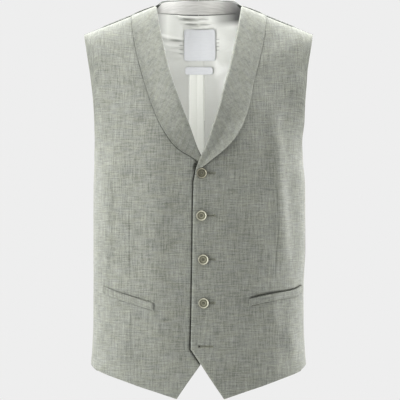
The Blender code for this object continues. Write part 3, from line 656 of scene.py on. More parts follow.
def coons(bottom, top, left, right, u, v):
    """Blend four edges into a grid of places, indexed [row, column]."""
    u, v = u[None, :, None], v[:, None, None]
    grid = (1 - v) * bottom[None] + v * top[None] + (1 - u) * left[:, None] + u * right[:, None]
    corners = (1 - u) * ((1 - v) * bottom[0] + v * top[0]) + u * ((1 - v) * bottom[-1] + v * top[-1])
    return grid - corners


def hem_places(turn, side):
    """Places along a front's hem at the given turns."""
    x = half_width(SIDE_HEM_Z) * np.sin(turn)
    corner_x = FRONT_HEM[-1][0] * MM
    corner = np.clip((x - corner_x) / (half_width(SIDE_HEM_Z) - corner_x), 0.0, 1.0)
    z = front_hem(x - side * centre_line(FRONT_POINT[1] * MM) * (1.0 - corner))
    z = z + (SIDE_HEM_Z - FRONT_HEM[-1][1] * MM) * corner
    return place_on_body(x, z, FRONT)


def shoulder_places(x, half):
    turn = np.arcsin(x / half_width(shoulder_line(x, half)))
    return np.stack([turn, np.full(len(x), SHOULDER_GAP_FALL)], -1)


COLLAR_COLUMN = 0.05             # share of the columns at which a grid line runs along the collar
# columns gathered along the collar's edge
COLLAR_CLUSTER = (0.0485, 0.0492, 0.0496, 0.0498, 0.0535, 0.057, 0.061, 0.065)
# from and to which row, or share of the columns, the grid is finer, and its step there
FINER_ROWS = ((2.4, 4.4, 0.06), (4.4, 6.9, 0.045), (14.5, 15.5, 0.04), (15.5, 19.0, 0.08))
FRONT_ROWS = graded(0.0, ALL_ROWS, 0.16, FINER_ROWS)
FINER_COLUMNS = {
    LEFT: ((0.0, 0.014, 0.0025), (0.50, 0.565, 0.0026)),
    RIGHT: ((0.0, 0.02, 0.005), (0.07, 0.14, 0.0022), (0.43, 0.50, 0.0026)),
}
FRONT_COLUMNS = {side: np.union1d(graded(0.0, 1.0, 0.0095, finer), (COLLAR_COLUMN, *COLLAR_CLUSTER))
                 for side, finer in FINER_COLUMNS.items()}


def front_places(side):
    rows, columns = FRONT_ROWS, FRONT_COLUMNS[side]
    left = front_edge_at(rows, side)
    right = side_edge_at(rows, FRONT, SIDE_HEM_Z)
    bottom = hem_places(left[0, 0] + (right[0, 0] - left[0, 0]) * columns, side)
    bottom[0], bottom[-1] = left[0], right[0]
    neck_x = NECK_HALF + COLLAR_ROLL + side * centre_line(0.0)
    top = shoulder_places(neck_x + (SHOULDER_TIP_X - neck_x) * columns, FRONT)
    top[0], top[-1] = left[-1], right[-1]
    grid = coons(bottom, top, left, right, columns, rows / ALL_ROWS)
    point = body_point(grid, FRONT)
    away = off_collar(point[..., 0], point[..., 2], side)
    for row in np.nonzero(rows > SEAM_ROWS)[0]:
        at = max(np.interp(0.0, away[row], columns), COLLAR_COLUMN)
        moved = np.where(columns < COLLAR_COLUMN, columns * at / COLLAR_COLUMN,
                         at + (columns - COLLAR_COLUMN) * (1.0 - at) / (1.0 - COLLAR_COLUMN))
        grid[row] = sampled(moved, columns, grid[row])
    return grid


FACING_SHARE = 0.26              # share of a front's inside, from its edge, that is linen


def dress_front(word, side, materials):
    columns = FRONT_COLUMNS[side]
    outer, inner, grain = walls_of(front_places(side), FRONT, side,
                                   lambda x, z: front_relief(x, z, side), FRONT_WALL)
    lined = np.broadcast_to((columns[:-1] > FACING_SHARE).astype(np.int32),
                            (len(FRONT_ROWS) - 1, len(columns) - 1))
    return shell("cloth_front_" + word, outer, inner, grain, materials, inner_slot=lined)


# ---------------------------------------------------------------- back, lining and neck band

BACK_ROWS = graded(0.0, ALL_ROWS, 0.2, ((27.0, 28.0, 0.06),))
LINING_ROWS = graded(0.0, ALL_ROWS, 0.2, ((20.5, 28.0, 0.11),))
BACK_COLUMNS = graded(0.0, 1.0, 0.017, ((0.0, 0.015, 0.005),))
LINING_COLUMNS = graded(0.0, 1.0, 0.016, ((0.0, 0.09, 0.0045),))
BACK_UNDERARM_ROW_Z = -232 * MM  # centre height of the row that meets the underarm
BACK_ROW_CROWDING = 1.25         # over 1 puts the back's rows closer towards the neck
BAND_SHARE = 0.32                # share of a half back's columns that end at the band's seam
NECK_SHARE = 0.25                # and at the neckline
BAND_GAP_FALL = 0.0044           # leaves a seam's gap under the neck band
BAND_GAP_FADE = 0.04             # share of the columns over which that gap closes at the shoulder
OTHER_SIDE_SHIFT = 36 * MM       # the right back's folds lie this much lower
WRINKLES = (
    # x and z of both ends, half width, height (mm) of the lining's creases, seen from inside
    (-44, -8.4, 10, -9.4, 2, 5),
    (-30, -12.8, 24, -12.4, 1.5, -2.6),
    (-34, -17, 14, -16.6, 1.7, 5.4),
    (-24, -21.4, 34, -20.8, 1.6, -2.6),
    (-16, -25.4, 30, -25.6, 1.5, 4.6),
    (-0.5, -9, -0.5, -25, 0.9, -0.9),
    (-96, -58, -27, -62, 13, 4.2),
    (29, -66, 96, -76, 14, 4.6),
    (33, -28, 90, -34, 9, 1.5),
    (-76, -42.5, -20, -45, 2, 4.2),
    (-64, -48, -22, -48.5, 1.6, -1.6),
    (-70, -55.6, -22, -56.4, 2, 2.5),
    (-66, -64, -22, -65.2, 2.3, 2.2),
    (-60, -76, -22, -72, 2.8, 1.4),
    (30, -48, 44, -62, 2.4, 1.2),
    (26, -72, 70, -58, 3.6, 1.1),
    (-60, -100, -30, -90, 6, 1.2),
    (26, -106, 58, -90, 7, 1),
    (-52, -150, -30, -250, 7, 0.8),
    (36, -140, 28, -260, 7, 0.7),
)
PLEAT_LEFT, PLEAT_RIGHT = -15.9 * MM, 9.4 * MM
PLEAT_STEP = 1.2 * MM
PLEAT_CLOSED = 0.6               # share of the pleat's rise where it is sewn shut
LINING_LEAST = 0.3 * MM          # thinnest wall of the lining, in its hollows
PLEAT_TOP_Z, PLEAT_OPENS = -84 * MM, 22 * MM
PLEAT_STRIPES = (
    # x, half width, height (mm) of the upright creases of the pleat
    (-2.6, 0.8, -0.5), (-9, 4, 0.3), (-16.6, 1.1, -0.5), (10.4, 1.1, -0.5), (-28, 5, 0.4),
    (24, 5, 0.4),
)
# the puff behind a shoulder seam: its height, its middle and half width in fall, where it starts
SEAM_PUFF, SEAM_PUFF_FALL, SEAM_PUFF_HALF = 2.3 * MM, 0.052, 0.030
SEAM_PUFF_X, SEAM_PUFF_SPAN = 74 * MM, 10 * MM


def back_relief(x, z):
    """Offset of the back's outer face: its folds, and a puff behind each shoulder seam."""
    lower = np.where(x < 0.0, OTHER_SIDE_SHIFT, 0.0)
    fall = np.sqrt(np.maximum(shoulder_line(x, BACK) - z, 0.0) / CROWN_DROP)
    puff = SEAM_PUFF * bell((fall - SEAM_PUFF_FALL) / SEAM_PUFF_HALF)
    puff = puff * smooth_step((np.abs(x) - SEAM_PUFF_X) / SEAM_PUFF_SPAN)
    folds = fold_height(np.abs(x), z, BACK_FOLDS) + fold_height(np.abs(x), z + lower, FINE_BACK_FOLDS)
    return folds + puff + fold_height(x, z, (SIDE_BULGE,))


def lining_relief(x, z):
    return back_relief(x, z) - BACK_WALL - LINING_GAP


def lining_thickness(x, z):
    """Wall of the lining: its creases and the pleat stand out towards the inside."""
    opens = smooth_step((PLEAT_TOP_Z - z) / PLEAT_OPENS)
    stripes = sum(rise * MM * bell((x - at * MM) / (half * MM)) for at, half, rise in PLEAT_STRIPES)
    pleat = PLEAT_RAISE * between(x, PLEAT_LEFT, PLEAT_RIGHT, PLEAT_STEP) * (PLEAT_CLOSED + opens)
    thick = LINING_WALL + pleat + stripes * opens + fold_height(x, z, WRINKLES)
    return np.maximum(thick, LINING_LEAST)


def back_places(rows, columns, top):
    """Half of the back from the centre to the side, up to the places of its top edge."""
    right = side_edge_at(rows, BACK, SIDE_HEM_Z)
    up = np.clip((rows - SEAM_ROWS) / (ALL_ROWS - SEAM_ROWS), 0.0, 1.0)
    top_z = shoulder_line(0.0, BACK) - CROWN_DROP * top[0, 1] ** 2
    lower_z = BACK_HEM_Z + (BACK_UNDERARM_ROW_Z - BACK_HEM_Z) * rows / SEAM_ROWS
    upper_z = top_z + (BACK_UNDERARM_ROW_Z - top_z) * (1.0 - up) ** BACK_ROW_CROWDING
    centre_z = np.where(rows < SEAM_ROWS, lower_z, upper_z)
    left = place_on_body(np.zeros(len(rows)), centre_z, BACK)
    turn = columns * right[0, 0]
    hem_z = BACK_HEM_Z + (SIDE_HEM_Z - BACK_HEM_Z) * columns ** 2
    bottom = place_on_body(half_width(SIDE_HEM_Z) * np.sin(turn), hem_z, BACK)
    bottom[-1], top[-1] = right[0], right[-1]
    return coons(bottom, top, left, right, columns, rows / ALL_ROWS)


def back_top_places(inner, columns, share, end_x):
    """Along the places of inner, over a share of the columns, then along the seam from end_x."""
    out = np.clip((columns - share) / (1.0 - share), 0.0, 1.0)
    seam = shoulder_places(end_x + (SHOULDER_TIP_X - end_x) * out, BACK)
    places = np.where((columns < share)[:, None], inner, seam)
    places[:, 1] = np.maximum(places[:, 1], SHOULDER_GAP_FALL)
    return places


def neck_and_shoulder_places(columns):
    """Along the back neckline to the neck point, then along the shoulder seam."""
    x = NECK_HALF * np.clip(columns / NECK_SHARE, 0.0, 1.0)
    return back_top_places(place_on_body(x, back_neck(x), BACK), columns, NECK_SHARE, NECK_HALF)


def band_seam_at(share):
    """Places along the neck band's seam, at shares of the way from the centre to the shoulder."""
    rise = shoulder_line(BAND_END_X, BACK) - BAND_SEAM_Z
    return place_on_body(BAND_END_X * share, BAND_SEAM_Z + rise * share ** 2, BACK)


def band_seam_places(columns):
    """Along the neck band's seam to the shoulder, then along the shoulder seam."""
    band = band_seam_at(np.clip(columns / BAND_SHARE, 0.0, 1.0))
    places = back_top_places(band, columns, BAND_SHARE, BAND_END_X)
    places[:, 1] += BAND_GAP_FALL * smooth_step((BAND_SHARE + BAND_GAP_FADE - columns) / BAND_GAP_FADE)
    return places


def mirrored(grid):
    """A half grid and its mirror image, joined on the centre line."""
    flipped = grid[:, :0:-1].copy()
    flipped[..., 0] *= -1.0
    return np.concatenate([flipped, grid], 1)


SEAM_RISE, COLLAR_RISE = 1.4 * MM, 1.3 * MM    # of the back's cloth along the seam, more by the collar
SEAM_RISE_FALL = 4 * MM          # height over which it dies out down the back
SEAM_RISE_X = (64 * MM, 96 * MM, 158 * MM)    # its start, the collar's edge and its end
SEAM_RISE_SPAN = 10 * MM


def seam_rise(x, z):
    """How far the back's satin rolls up over the shoulder seam, as a thin line seen from the front."""
    start, collar_end, end = SEAM_RISE_X
    out = np.abs(x)
    high = smooth_step((z - shoulder_line(x, BACK)) / SEAM_RISE_FALL + 1.0)
    by_collar = 1.0 - smooth_step((out - collar_end) / SEAM_RISE_SPAN)
    return (SEAM_RISE + COLLAR_RISE * by_collar) * high * between(out, start, end, SEAM_RISE_SPAN)


def dress_back(word, side, materials):
    places = back_places(BACK_ROWS, BACK_COLUMNS, neck_and_shoulder_places(BACK_COLUMNS))
    places[:, 0, 0] = 0.5 * SEAM_GAP / half_width(UNDERARM_Z)
    outer, inner, grain = walls_of(places, BACK, side,
                                   lambda x, z: back_relief(side * x, z) + seam_rise(x, z), BACK_WALL)
    return shell("cloth_back_" + word, outer, inner, grain, materials)


def dress_lining(materials):
    places = mirrored(back_places(LINING_ROWS, LINING_COLUMNS, band_seam_places(LINING_COLUMNS)))
    point = body_point(places, BACK)
    thick = lining_thickness(point[..., 0], point[..., 2])
    outer, inner, grain = walls_of(places, BACK, BOTH, lining_relief, thick)
    x = point[:-1, :-1, 0]
    # the pleat's inside faces take the lighter satin, a painted highlight
    pleat = (x > PLEAT_LEFT) & (x < PLEAT_RIGHT) & (point[:-1, :-1, 2] < PLEAT_TOP_Z - PLEAT_OPENS / 2)
    return shell("cloth_back_lining", outer, inner, grain, materials, inner_slot=pleat.astype(np.int32))


BAND_GRID = (0.03, 20)           # step of its columns, number of its rows
BAND_PUFF = 0.5 * MM


def dress_band(materials):
    """The neck band; the back's satin is turned over its upper edge."""
    step, rows = BAND_GRID
    columns = graded(0.0, 1.0, step)
    neck_x = NECK_HALF * columns
    neck = place_on_body(neck_x, back_neck(neck_x), BACK)
    up = np.linspace(0.0, 1.0, rows)[:, None, None]
    half = band_seam_at(columns)[None] * (1.0 - up) + neck[None] * up
    half[..., 1] = np.maximum(half[..., 1], SHOULDER_GAP_FALL)
    places = mirrored(half)
    puff = BAND_PUFF * np.sin(np.pi * np.broadcast_to(up[..., 0], places.shape[:2]))
    outer, inner, grain = walls_of(places, BACK, BOTH, lining_relief, LINING_WALL + PLEAT_RAISE + puff)
    piece = shell("cloth_neck_band", outer, inner, grain, materials)
    rim = 2 * (places.shape[0] - 1) * (places.shape[1] - 1)
    top = max(outer[-2, :, 2].min(), inner[-2, :, 2].min())
    for face in piece.data.polygons[rim:]:
        face.material_index = int(face.center.z > top)
    return piece


LABEL_CORNER = 4.2 * MM
LABEL_GROWN = (1.2 * MM, 1.3 * MM)    # how much wider, and higher up, the cloth label is
LABEL_ROUND = 0.3                # most of a label's height that a corner's radius takes
LABEL_LIFT, LIFT_TOP, LIFT_RIGHT = 1.1 * MM, 0.72, 0.35    # and the shares from which it lifts
LABEL_WAVE, LABEL_WAVES = 0.25 * MM, 1.2
LABEL_CLEAR = 1.3                # share of the pleat's rise that a label stays clear of


def label_places(size):
    """Grid of x and z over a label with round corners."""
    centre_x, centre_z, width, height = size
    corner = min(LABEL_CORNER, LABEL_ROUND * height)
    s = np.linspace(-0.5, 0.5, 2 + int(width / MM))
    t = np.linspace(-0.5, 0.5, 2 + int(height / MM))
    width, centre_z = width + LABEL_GROWN[0], centre_z + LABEL_GROWN[1]
    x, z = np.meshgrid(s * width, t * height)
    dx = np.sign(x) * np.maximum(np.abs(x) - (width / 2 - corner), 0.0)
    dz = np.sign(z) * np.maximum(np.abs(z) - (height / 2 - corner), 0.0)
    long, most = np.hypot(dx, dz), np.maximum(np.abs(dx), np.abs(dz))
    pull = np.where((dx != 0.0) & (dz != 0.0), most / np.maximum(long, 1e-9), 1.0) - 1.0
    return centre_x + x + dx * pull, centre_z + z + dz * pull


def label_inside(x, z, size):
    """Offset of a label's sewn face, which lifts a little towards its upper right corner."""
    centre_x, centre_z, width, height = size
    right, top = (x - centre_x) / width + 0.5, (z - centre_z) / height + 0.5
    lift = LABEL_LIFT * smooth_step((top - LIFT_TOP) / (1.0 - LIFT_TOP))
    lift = lift * smooth_step((right - LIFT_RIGHT) / (1.0 - LIFT_RIGHT))
    wave = LABEL_WAVE * np.sin(2.0 * np.pi * LABEL_WAVES * right) * (top - 0.5)
    under = BACK_WALL + LINING_GAP + LINING_WALL + PLEAT_RAISE * LABEL_CLEAR + LAYER_GAP
    return wave - under - lift


def inside_border(grid):
    """The row of a grid's points one step inside its border."""
    return np.concatenate([grid[1, 1:-1], grid[1:-1, -2], grid[-2, -2:0:-1], grid[-2:0:-1, 1]])


def dress_label(name, size, materials):
    """A label, and the points and normals that its stitches follow."""
    places = place_on_body(*label_places(size), BACK)
    outer, inner, grain = walls_of(places, BACK, BOTH, lambda x, z: label_inside(x, z, size), LABEL_WALL)
    piece = shell(name, outer, inner, grain, materials)
    return piece, inside_border(inner), inside_border(unit(inner - outer))


# ---------------------------------------------------------------- collar and welts

COLLAR_ROW_FALL = (1.0, 0.98, 0.95, 0.92, 0.88, 0.84, 0.79, 0.74, 0.68, 0.62, 0.56, 0.5, 0.44, 0.38,
                   0.32, 0.26, 0.2, 0.15, 0.1, 0.045)
STAND_WIDTH = 9 * MM             # how far the collar's cloth turns in behind the front's edge
STAND_GAP = 0.4 * MM
BIAS = np.radians(38.0)          # the collar's cloth is cut on the cross
PICK_COLUMN = -6                 # column of the collar's grid that its hand stitches follow
LEAF_LIFT = (
    # share of the width from the fold out, lift off the front (mm)
    (0.00, 0.35), (0.12, 0.75), (0.35, 0.70), (0.60, 0.35), (0.82, 0.35), (0.93, 0.95),
    (1.00, 1.75),
)
CURL = (
    # z, how far the leaf's outer edge turns up (mm)
    (-258, 0.5), (-240, 4.5), (-215, 8.5), (-190, 9), (-165, 6.5), (-140, 3.5), (-110, 1),
    (-80, 0),
)
CURL_FROM = 0.42                 # share of the leaf's width that lies flat
CURL_ROUND = 1.3                 # exponent of the curl over the rest
CURL_SHARE = {LEFT: 1.0, RIGHT: 0.07}
TIP_ROLL = 0.12                  # share of the fold's roll that is left at the collar's tip
SEAM_THIN, SEAM_THIN_FALL = 0.3, 0.15    # share of its wall lost at the shoulder seam, and over what fall
BLUNT_FALL = 0.02                # fall over which the tip's blunt end turns into the outer edge
LEAF_COLUMNS = (0.045, ((0.9, 1.0, 0.02),))    # step, and where it is finer
STAND_POINTS, FOLD_POINTS = 6, 11
COLLAR_ROW_STEP = 0.11           # between the rows, counted in those of COLLAR_ROW_FALL
STAND_SHARE = 0.7                # most of the leaf's width that the stand may take
LEAST_FALL = 0.8                 # share of the top row's fall that no point of the collar rises above
SLOPE_STEP = 0.2 * MM            # distance over which the way across the leaf is measured
curl_at = table_curve(CURL)


def collar_lines(side, fall):
    """x and z of the collar's fold and of its outer edge, row by row."""
    end_z = COLLAR_EDGE[0][0] * MM
    fold_z = end_z * fall ** 2
    table_z, table_x = np.array(COLLAR_EDGE).T * MM
    run = run_along(np.stack([table_x, table_z], -1))
    at = run[-1] * (1.0 - fall ** 2)
    outer_x, outer_z = monotone(run, table_x, at), monotone(run, table_z, at)
    fold_x = neck_edge(fold_z)
    blunt = smooth_step((1.0 - fall) / BLUNT_FALL)
    outer_x = outer_x * blunt + (fold_x[0] + COLLAR_TIP_SIZE[0]) * (1.0 - blunt)
    outer_z = outer_z * blunt + (end_z + COLLAR_TIP_SIZE[1]) * (1.0 - blunt)
    outer_z = outer_z + tip_rise(outer_z, side)
    top = shoulder_line(outer_x + side * centre_line(outer_z), FRONT) - CROWN_DROP * fall[-1] ** 2
    return fold_x, fold_z, outer_x, np.minimum(outer_z, top)


def dress_collar(word, side, materials):
    """The collar's cloth: in behind the front's edge, round the fold and out over the front.

    A distance a runs out from the fold, and a height h off the front's solid.
    """
    index = graded(0.0, len(COLLAR_ROW_FALL) - 1.0, COLLAR_ROW_STEP)
    fall = np.interp(index, np.arange(len(COLLAR_ROW_FALL)), COLLAR_ROW_FALL)
    fold_x, fold_z, outer_x, outer_z = (v[:, None] for v in collar_lines(side, fall))
    roll = TIP_ROLL + (1.0 - TIP_ROLL) * smooth_step((fold_z - ROLL_LOW_Z) / ROLL_RISE)
    off_seam = smooth_step((fall[:, None] - fall[-1]) / SEAM_THIN_FALL)
    thick = COLLAR_TIP_WALL + (COLLAR_WALL - COLLAR_TIP_WALL) * roll
    thick = thick * (1.0 - SEAM_THIN + SEAM_THIN * off_seam)
    spread = smooth_step((outer_x - fold_x) / COLLAR_FLAT_WIDTH) * off_seam
    leaf_share, leaf_lift = np.array(LEAF_LIFT).T

    def base(a, width):
        """Point and normal of the front's solid, at a distance out from the fold."""
        share = a / width
        x = fold_x + (outer_x - fold_x) * share
        z = fold_z + (outer_z - fold_z) * share
        places = place_on_body(x + side * centre_line(z), z, FRONT)
        places[..., 1] = np.maximum(places[..., 1], LEAST_FALL * fall[-1])
        point, normal = body_seat(places, FRONT)
        return point + normal * front_offset(point[..., 0], point[..., 2], side)[..., None], normal

    width = np.hypot(outer_x - fold_x, outer_z - fold_z)
    width = np.linalg.norm(base(width, width)[0] - base(0.0 * width, width)[0], axis=-1)
    top_h = LAYER_GAP + thick / 2 + leaf_lift[0] * MM * spread
    in_h = top_h - (top_h + FRONT_WALL + STAND_GAP + thick / 2) * roll
    radius = (top_h - in_h) / 2
    stand = np.minimum(STAND_WIDTH, STAND_SHARE * width) * roll
    s = np.linspace(1.0, 0.0, STAND_POINTS)[None]
    stand_a, stand_h = radius + (stand - radius) * s, in_h + 0.0 * s
    angle = np.linspace(-np.pi / 2, np.pi / 2, FOLD_POINTS)[None, 1:-1]
    fold_a, fold_h = radius - radius * np.cos(angle), (top_h + in_h) / 2 + radius * np.sin(angle)
    s = graded(0.0, 1.0, *LEAF_COLUMNS)[None]
    leaf_a = radius + (width - radius) * s
    leaf_h = LAYER_GAP + thick / 2 + monotone(leaf_share, leaf_lift, s) * MM * spread
    turned_up = np.clip((s - CURL_FROM) / (1.0 - CURL_FROM), 0.0, 1.0) ** CURL_ROUND
    leaf_h = leaf_h + CURL_SHARE[side] * curl_at(fold_z) * turned_up
    a = np.concatenate([stand_a, fold_a, leaf_a], 1) + thick / 2 * roll
    h = np.concatenate([stand_h, fold_h, leaf_h], 1)
    point, normal = base(a, width)
    tangent = unit(base(a + SLOPE_STEP, width)[0] - base(a - SLOPE_STEP, width)[0])
    da, dh = np.gradient(a, axis=1), np.gradient(h, axis=1)
    long = np.maximum(np.hypot(da, dh), 1e-9)
    facing = tangent * (-dh / long)[..., None] + normal * (da / long)[..., None]
    middle = point + normal * h[..., None]
    outer = (middle + facing * thick[..., None] / 2) * MIRROR[side]
    inner = (middle - facing * thick[..., None] / 2) * MIRROR[side]
    u = np.cumsum(long, axis=1)
    v = np.broadcast_to(run_along(middle[:, middle.shape[1] // 2])[:, None], u.shape)
    grain = np.stack([u * np.cos(BIAS) - v * np.sin(BIAS), u * np.sin(BIAS) + v * np.cos(BIAS)], -1)
    piece = shell("cloth_collar_" + word, outer, inner, grain, materials)
    return piece, outer[:, PICK_COLUMN], (facing * MIRROR[side])[:, PICK_COLUMN]


WELT_GRID = (90, 14)             # columns and rows
GAPE_LEAN = 0.75                 # below 1, it stands open most near its inner end
WELT_CROWN, WELT_EVEN = 0.25 * MM, 0.7    # by which it is fuller along the middle, and how evenly
WELT_SLANT = 1.1                 # length of a slanted welt's cloth for each unit across


def welt_ends(side):
    return WELT_TOP[side][0][0] * MM, WELT_TOP[side][-1][0] * MM


def welt_walls(x, across, side):
    """Outer and inner points and the normal of a welt, at x and a share of its height."""
    start, end = welt_ends(side)
    z = table_curve(WELT_TOP[side])(x) - WELT_HEIGHT * (1.0 - across)
    point, normal = body_seat(place_on_body(x, z, FRONT), FRONT)
    along = np.clip((x - start) / (end - start), 0.0, 1.0)
    lift = WELT_GAPE[side] * np.sin(np.pi * along ** GAPE_LEAN) * across ** 2
    px, pz = point[..., 0], point[..., 2]
    seat = front_offset(px, pz, side) + fold_height(px, pz, FINE_FOLDS[side]) + LAYER_GAP + lift
    inner = point + normal * seat[..., None]
    crown = WELT_CROWN * np.sin(np.pi * across) ** WELT_EVEN
    return inner + normal * (WELT_WALL + crown)[..., None], inner, normal


def dress_welt(word, side, materials):
    columns, rows = WELT_GRID
    x, across = np.meshgrid(np.linspace(*welt_ends(side), columns), np.linspace(0.0, 1.0, rows))
    outer, inner, _ = welt_walls(x, across, side)
    grain = np.stack([side * x * WELT_SLANT, WELT_HEIGHT * across], -1)
    return shell("cloth_welt_" + word, outer * MIRROR[side], inner * MIRROR[side], grain, materials)


# ---------------------------------------------------------------- stitches and buttonholes


THREAD_SIDES = 6
THREAD_FORM = (
    # share of a stitch's length, its girth there, and its rise, both counted in its radius
    (0.0, 0.35, -0.3), (0.18, 0.9, 0.35), (0.5, 1.0, 0.6), (0.82, 0.9, 0.35), (1.0, 0.35, -0.3),
)


def stitches(name, start, end, normal, radius, material, arch=0.5):
    """Short threads from start to end, arched off the cloth, as one mesh."""
    start, end, normal = (np.asarray(v, float) for v in (start, end, normal))
    along, side = end - start, unit(np.cross(normal, end - start))
    share, girth, rise = np.array(THREAD_FORM).T
    girth, rise = girth * radius, rise * radius * 2.0 * arch
    turn = np.arange(THREAD_SIDES) * 2.0 * np.pi / THREAD_SIDES
    centre = start[:, None] + along[:, None] * share[:, None] + normal[:, None] * rise[:, None]
    ring = (side[:, None, None] * np.cos(turn)[:, None] + normal[:, None, None] * np.sin(turn)[:, None])
    points = centre[:, :, None] + ring * girth[:, None, None]
    number = np.arange(points[..., 0].size).reshape(points.shape[:-1])
    a, b = number[:, :-1], number[:, 1:]
    sides = np.stack([a, np.roll(a, -1, 2), np.roll(b, -1, 2), b], -1).reshape(-1, 4)
    caps = np.concatenate([number[:, 0, ::-1], number[:, -1]])
    return mesh_piece(name, points, sides.tolist() + caps.tolist(), material)


def on_front(side, x, z):
    """World point and normal on a front's cloth, at its own x and z."""
    point, normal = body_seat(place_on_body(x, z, FRONT), FRONT)
    stand = front_relief(point[..., 0], point[..., 2], side)
    return (point + normal * stand[..., None]) * MIRROR[side], normal * MIRROR[side]


HOLE_START, HOLE_END_X = -1.6 * MM, 25.3 * MM    # from the button's centre, and across
OPEN_HOLE = (0.9 * MM, 21.6 * MM)    # both ends of the lowest, which is undone
EYELET, EYELET_WIDE = 1.25 * MM, 1.2
EYELET_RAYS = np.linspace(0.2 * np.pi, 1.8 * np.pi, 13)    # directions of the stitches round it
BAR_OFF, BAR_HALF = 0.4 * MM, 2 * MM    # the two stitches across the hole's far end
EYELET_STITCH = (1.6 * MM, 2.7 * MM)
HOLE_PITCH = 1 * MM
HOLE_STITCH = (0.3 * MM, 2 * MM)    # from and to these distances off the slit
HOLE_UNEVEN = 0.5 * MM           # by which every other stitch is shorter
PRICK_PITCH, PRICK_OFF, PRICK_LENGTH = 2 * MM, 2.3 * MM, 0.5 * MM


def buttonhole_lines():
    """Ends, in x and z, of the stitches, slits, eyelets and needle holes of the five buttonholes."""
    lines, slits, eyelets, pricks = [], [], [], []
    for number, (x, z) in enumerate(BUTTONS):
        start, end, z = x * MM + HOLE_START, HOLE_END_X, z * MM
        if number == len(BUTTONS) - 1:
            start, end = OPEN_HOLE
        for count, at in enumerate(np.arange(start + EYELET, end, HOLE_PITCH)):
            reach = HOLE_STITCH[1] - HOLE_UNEVEN * (count % 2)
            for way in (-1.0, 1.0):
                lines.append((at, z + way * HOLE_STITCH[0], at, z + way * reach))
        for at in np.arange(start + 2.0 * EYELET, end, PRICK_PITCH):
            for way in (-PRICK_OFF, PRICK_OFF):
                pricks.append((at, z + way, at + PRICK_LENGTH, z + way))
        for angle in EYELET_RAYS:
            c, s = np.cos(angle), np.sin(angle)
            inner, outer = EYELET_STITCH
            lines.append((start + inner * c, z + inner * s, start + outer * c, z + outer * s))
        for across in (-BAR_OFF, BAR_OFF):
            lines.append((end + across, z - BAR_HALF, end + across, z + BAR_HALF))
        slits.append((start, z, end, z))
        eyelets.append((start - EYELET_WIDE * EYELET, z, start + EYELET_WIDE * EYELET, z))
    return [np.array(ends) for ends in (lines, slits, eyelets, pricks)]


def sew_on_front(name, side, lines, radius, material, arch):
    start, up = on_front(side, lines[:, 0], lines[:, 1])
    end = on_front(side, lines[:, 2], lines[:, 3])[0]
    return stitches(name, start, end, up, radius, material, arch)


PICK_PITCH, PICK_LENGTH, PICK_RADIUS = 4.6 * MM, 1 * MM, 0.24 * MM
EDGE_INSET = 4.5 * MM            # distance of the hand stitches from a front's edge


def pick_stitches(name, points, normals, material, pitch=PICK_PITCH, length=PICK_LENGTH):
    """Fine stitches along a line of points, one every pitch."""
    run = run_along(points)
    at = np.arange(pitch, run[-1] - pitch, pitch)
    start, end = sampled(at, run, points), sampled(at + length, run, points)
    return stitches(name, start, end, unit(sampled(at, run, normals)), PICK_RADIUS, material)


WELT_STITCH = 0.26 * MM
FOOT_PITCH, FOOT_LENGTH, FOOT_ACROSS = 2.1 * MM, 1.5 * MM, 0.10    # of the stitches along its lower edge
END_RISE, END_LENGTH = np.linspace(0.08, 0.84, 6), 0.12    # and of those up its ends
END_OFF = (0.9 * MM, 1.9 * MM)   # both lines of them, from the welt's end


def sew_welt(word, side, material):
    """Stitches along a welt's lower edge and up both of its ends."""
    start, end = welt_ends(side)
    x = np.arange(start + MM, end - MM, FOOT_PITCH)
    across = np.full(len(x), FOOT_ACROSS)
    lines = [np.stack([x, across, x + FOOT_LENGTH, across], -1)]
    for at in [start + off for off in END_OFF] + [end - off for off in END_OFF]:
        upright = np.full(len(END_RISE), at)
        lines.append(np.stack([upright, END_RISE, upright, END_RISE + END_LENGTH], -1))
    lines = np.concatenate(lines)
    begin, _, up = welt_walls(lines[:, 0], lines[:, 1], side)
    finish = welt_walls(lines[:, 2], lines[:, 3], side)[0]
    begin, finish, up = (v * MIRROR[side] for v in (begin, finish, up))
    return stitches("sewn_welt_" + word, begin, finish, up, WELT_STITCH, material)


# ---------------------------------------------------------------- buttons

DISH_PROFILE = (
    # radius as a share of the button's, height above the cloth (mm)
    (0.24, 1.55), (0.50, 1.50), (0.80, 1.55), (0.93, 1.85), (0.99, 2.35), (1.00, 2.75),
    (0.985, 3.15), (0.95, 3.50), (0.90, 3.66), (0.85, 3.60), (0.80, 3.30), (0.745, 2.90),
    (0.66, 2.66), (0.56, 2.66), (0.48, 2.90), (0.43, 2.92), (0.37, 2.72), (0.30, 2.58),
)
BUTTON_STEPS, DRILL_STEPS, SHANK_STEPS, SHANK_ROWS = 64, 20, 24, 30
HOLE_RADIUS, HOLE_OFF = 0.72 * MM, 1.75 * MM
HOLE_DEPTHS = (1 * MM, 4 * MM)
HOLE_WAYS = [(np.cos(turn), np.sin(turn), 0.0) for turn in np.pi / 4 + np.arange(4) * np.pi / 2]
SHARP = np.radians(42.0)         # edges that turn by more than this show as edges
SHANK_RADIUS, SHANK_HEIGHT = 1.9 * MM, 1.7 * MM
SHANK_TURNS, SHANK_GROOVE = 7.0, 0.06    # windings, and the depth between them as a share of its radius
CROSS_HEIGHTS = (2.66 * MM, 2.78 * MM)
CROSS_OFF, CROSS_RADIUS, CROSS_ARCH = 0.27 * MM, 0.3 * MM, 1.1


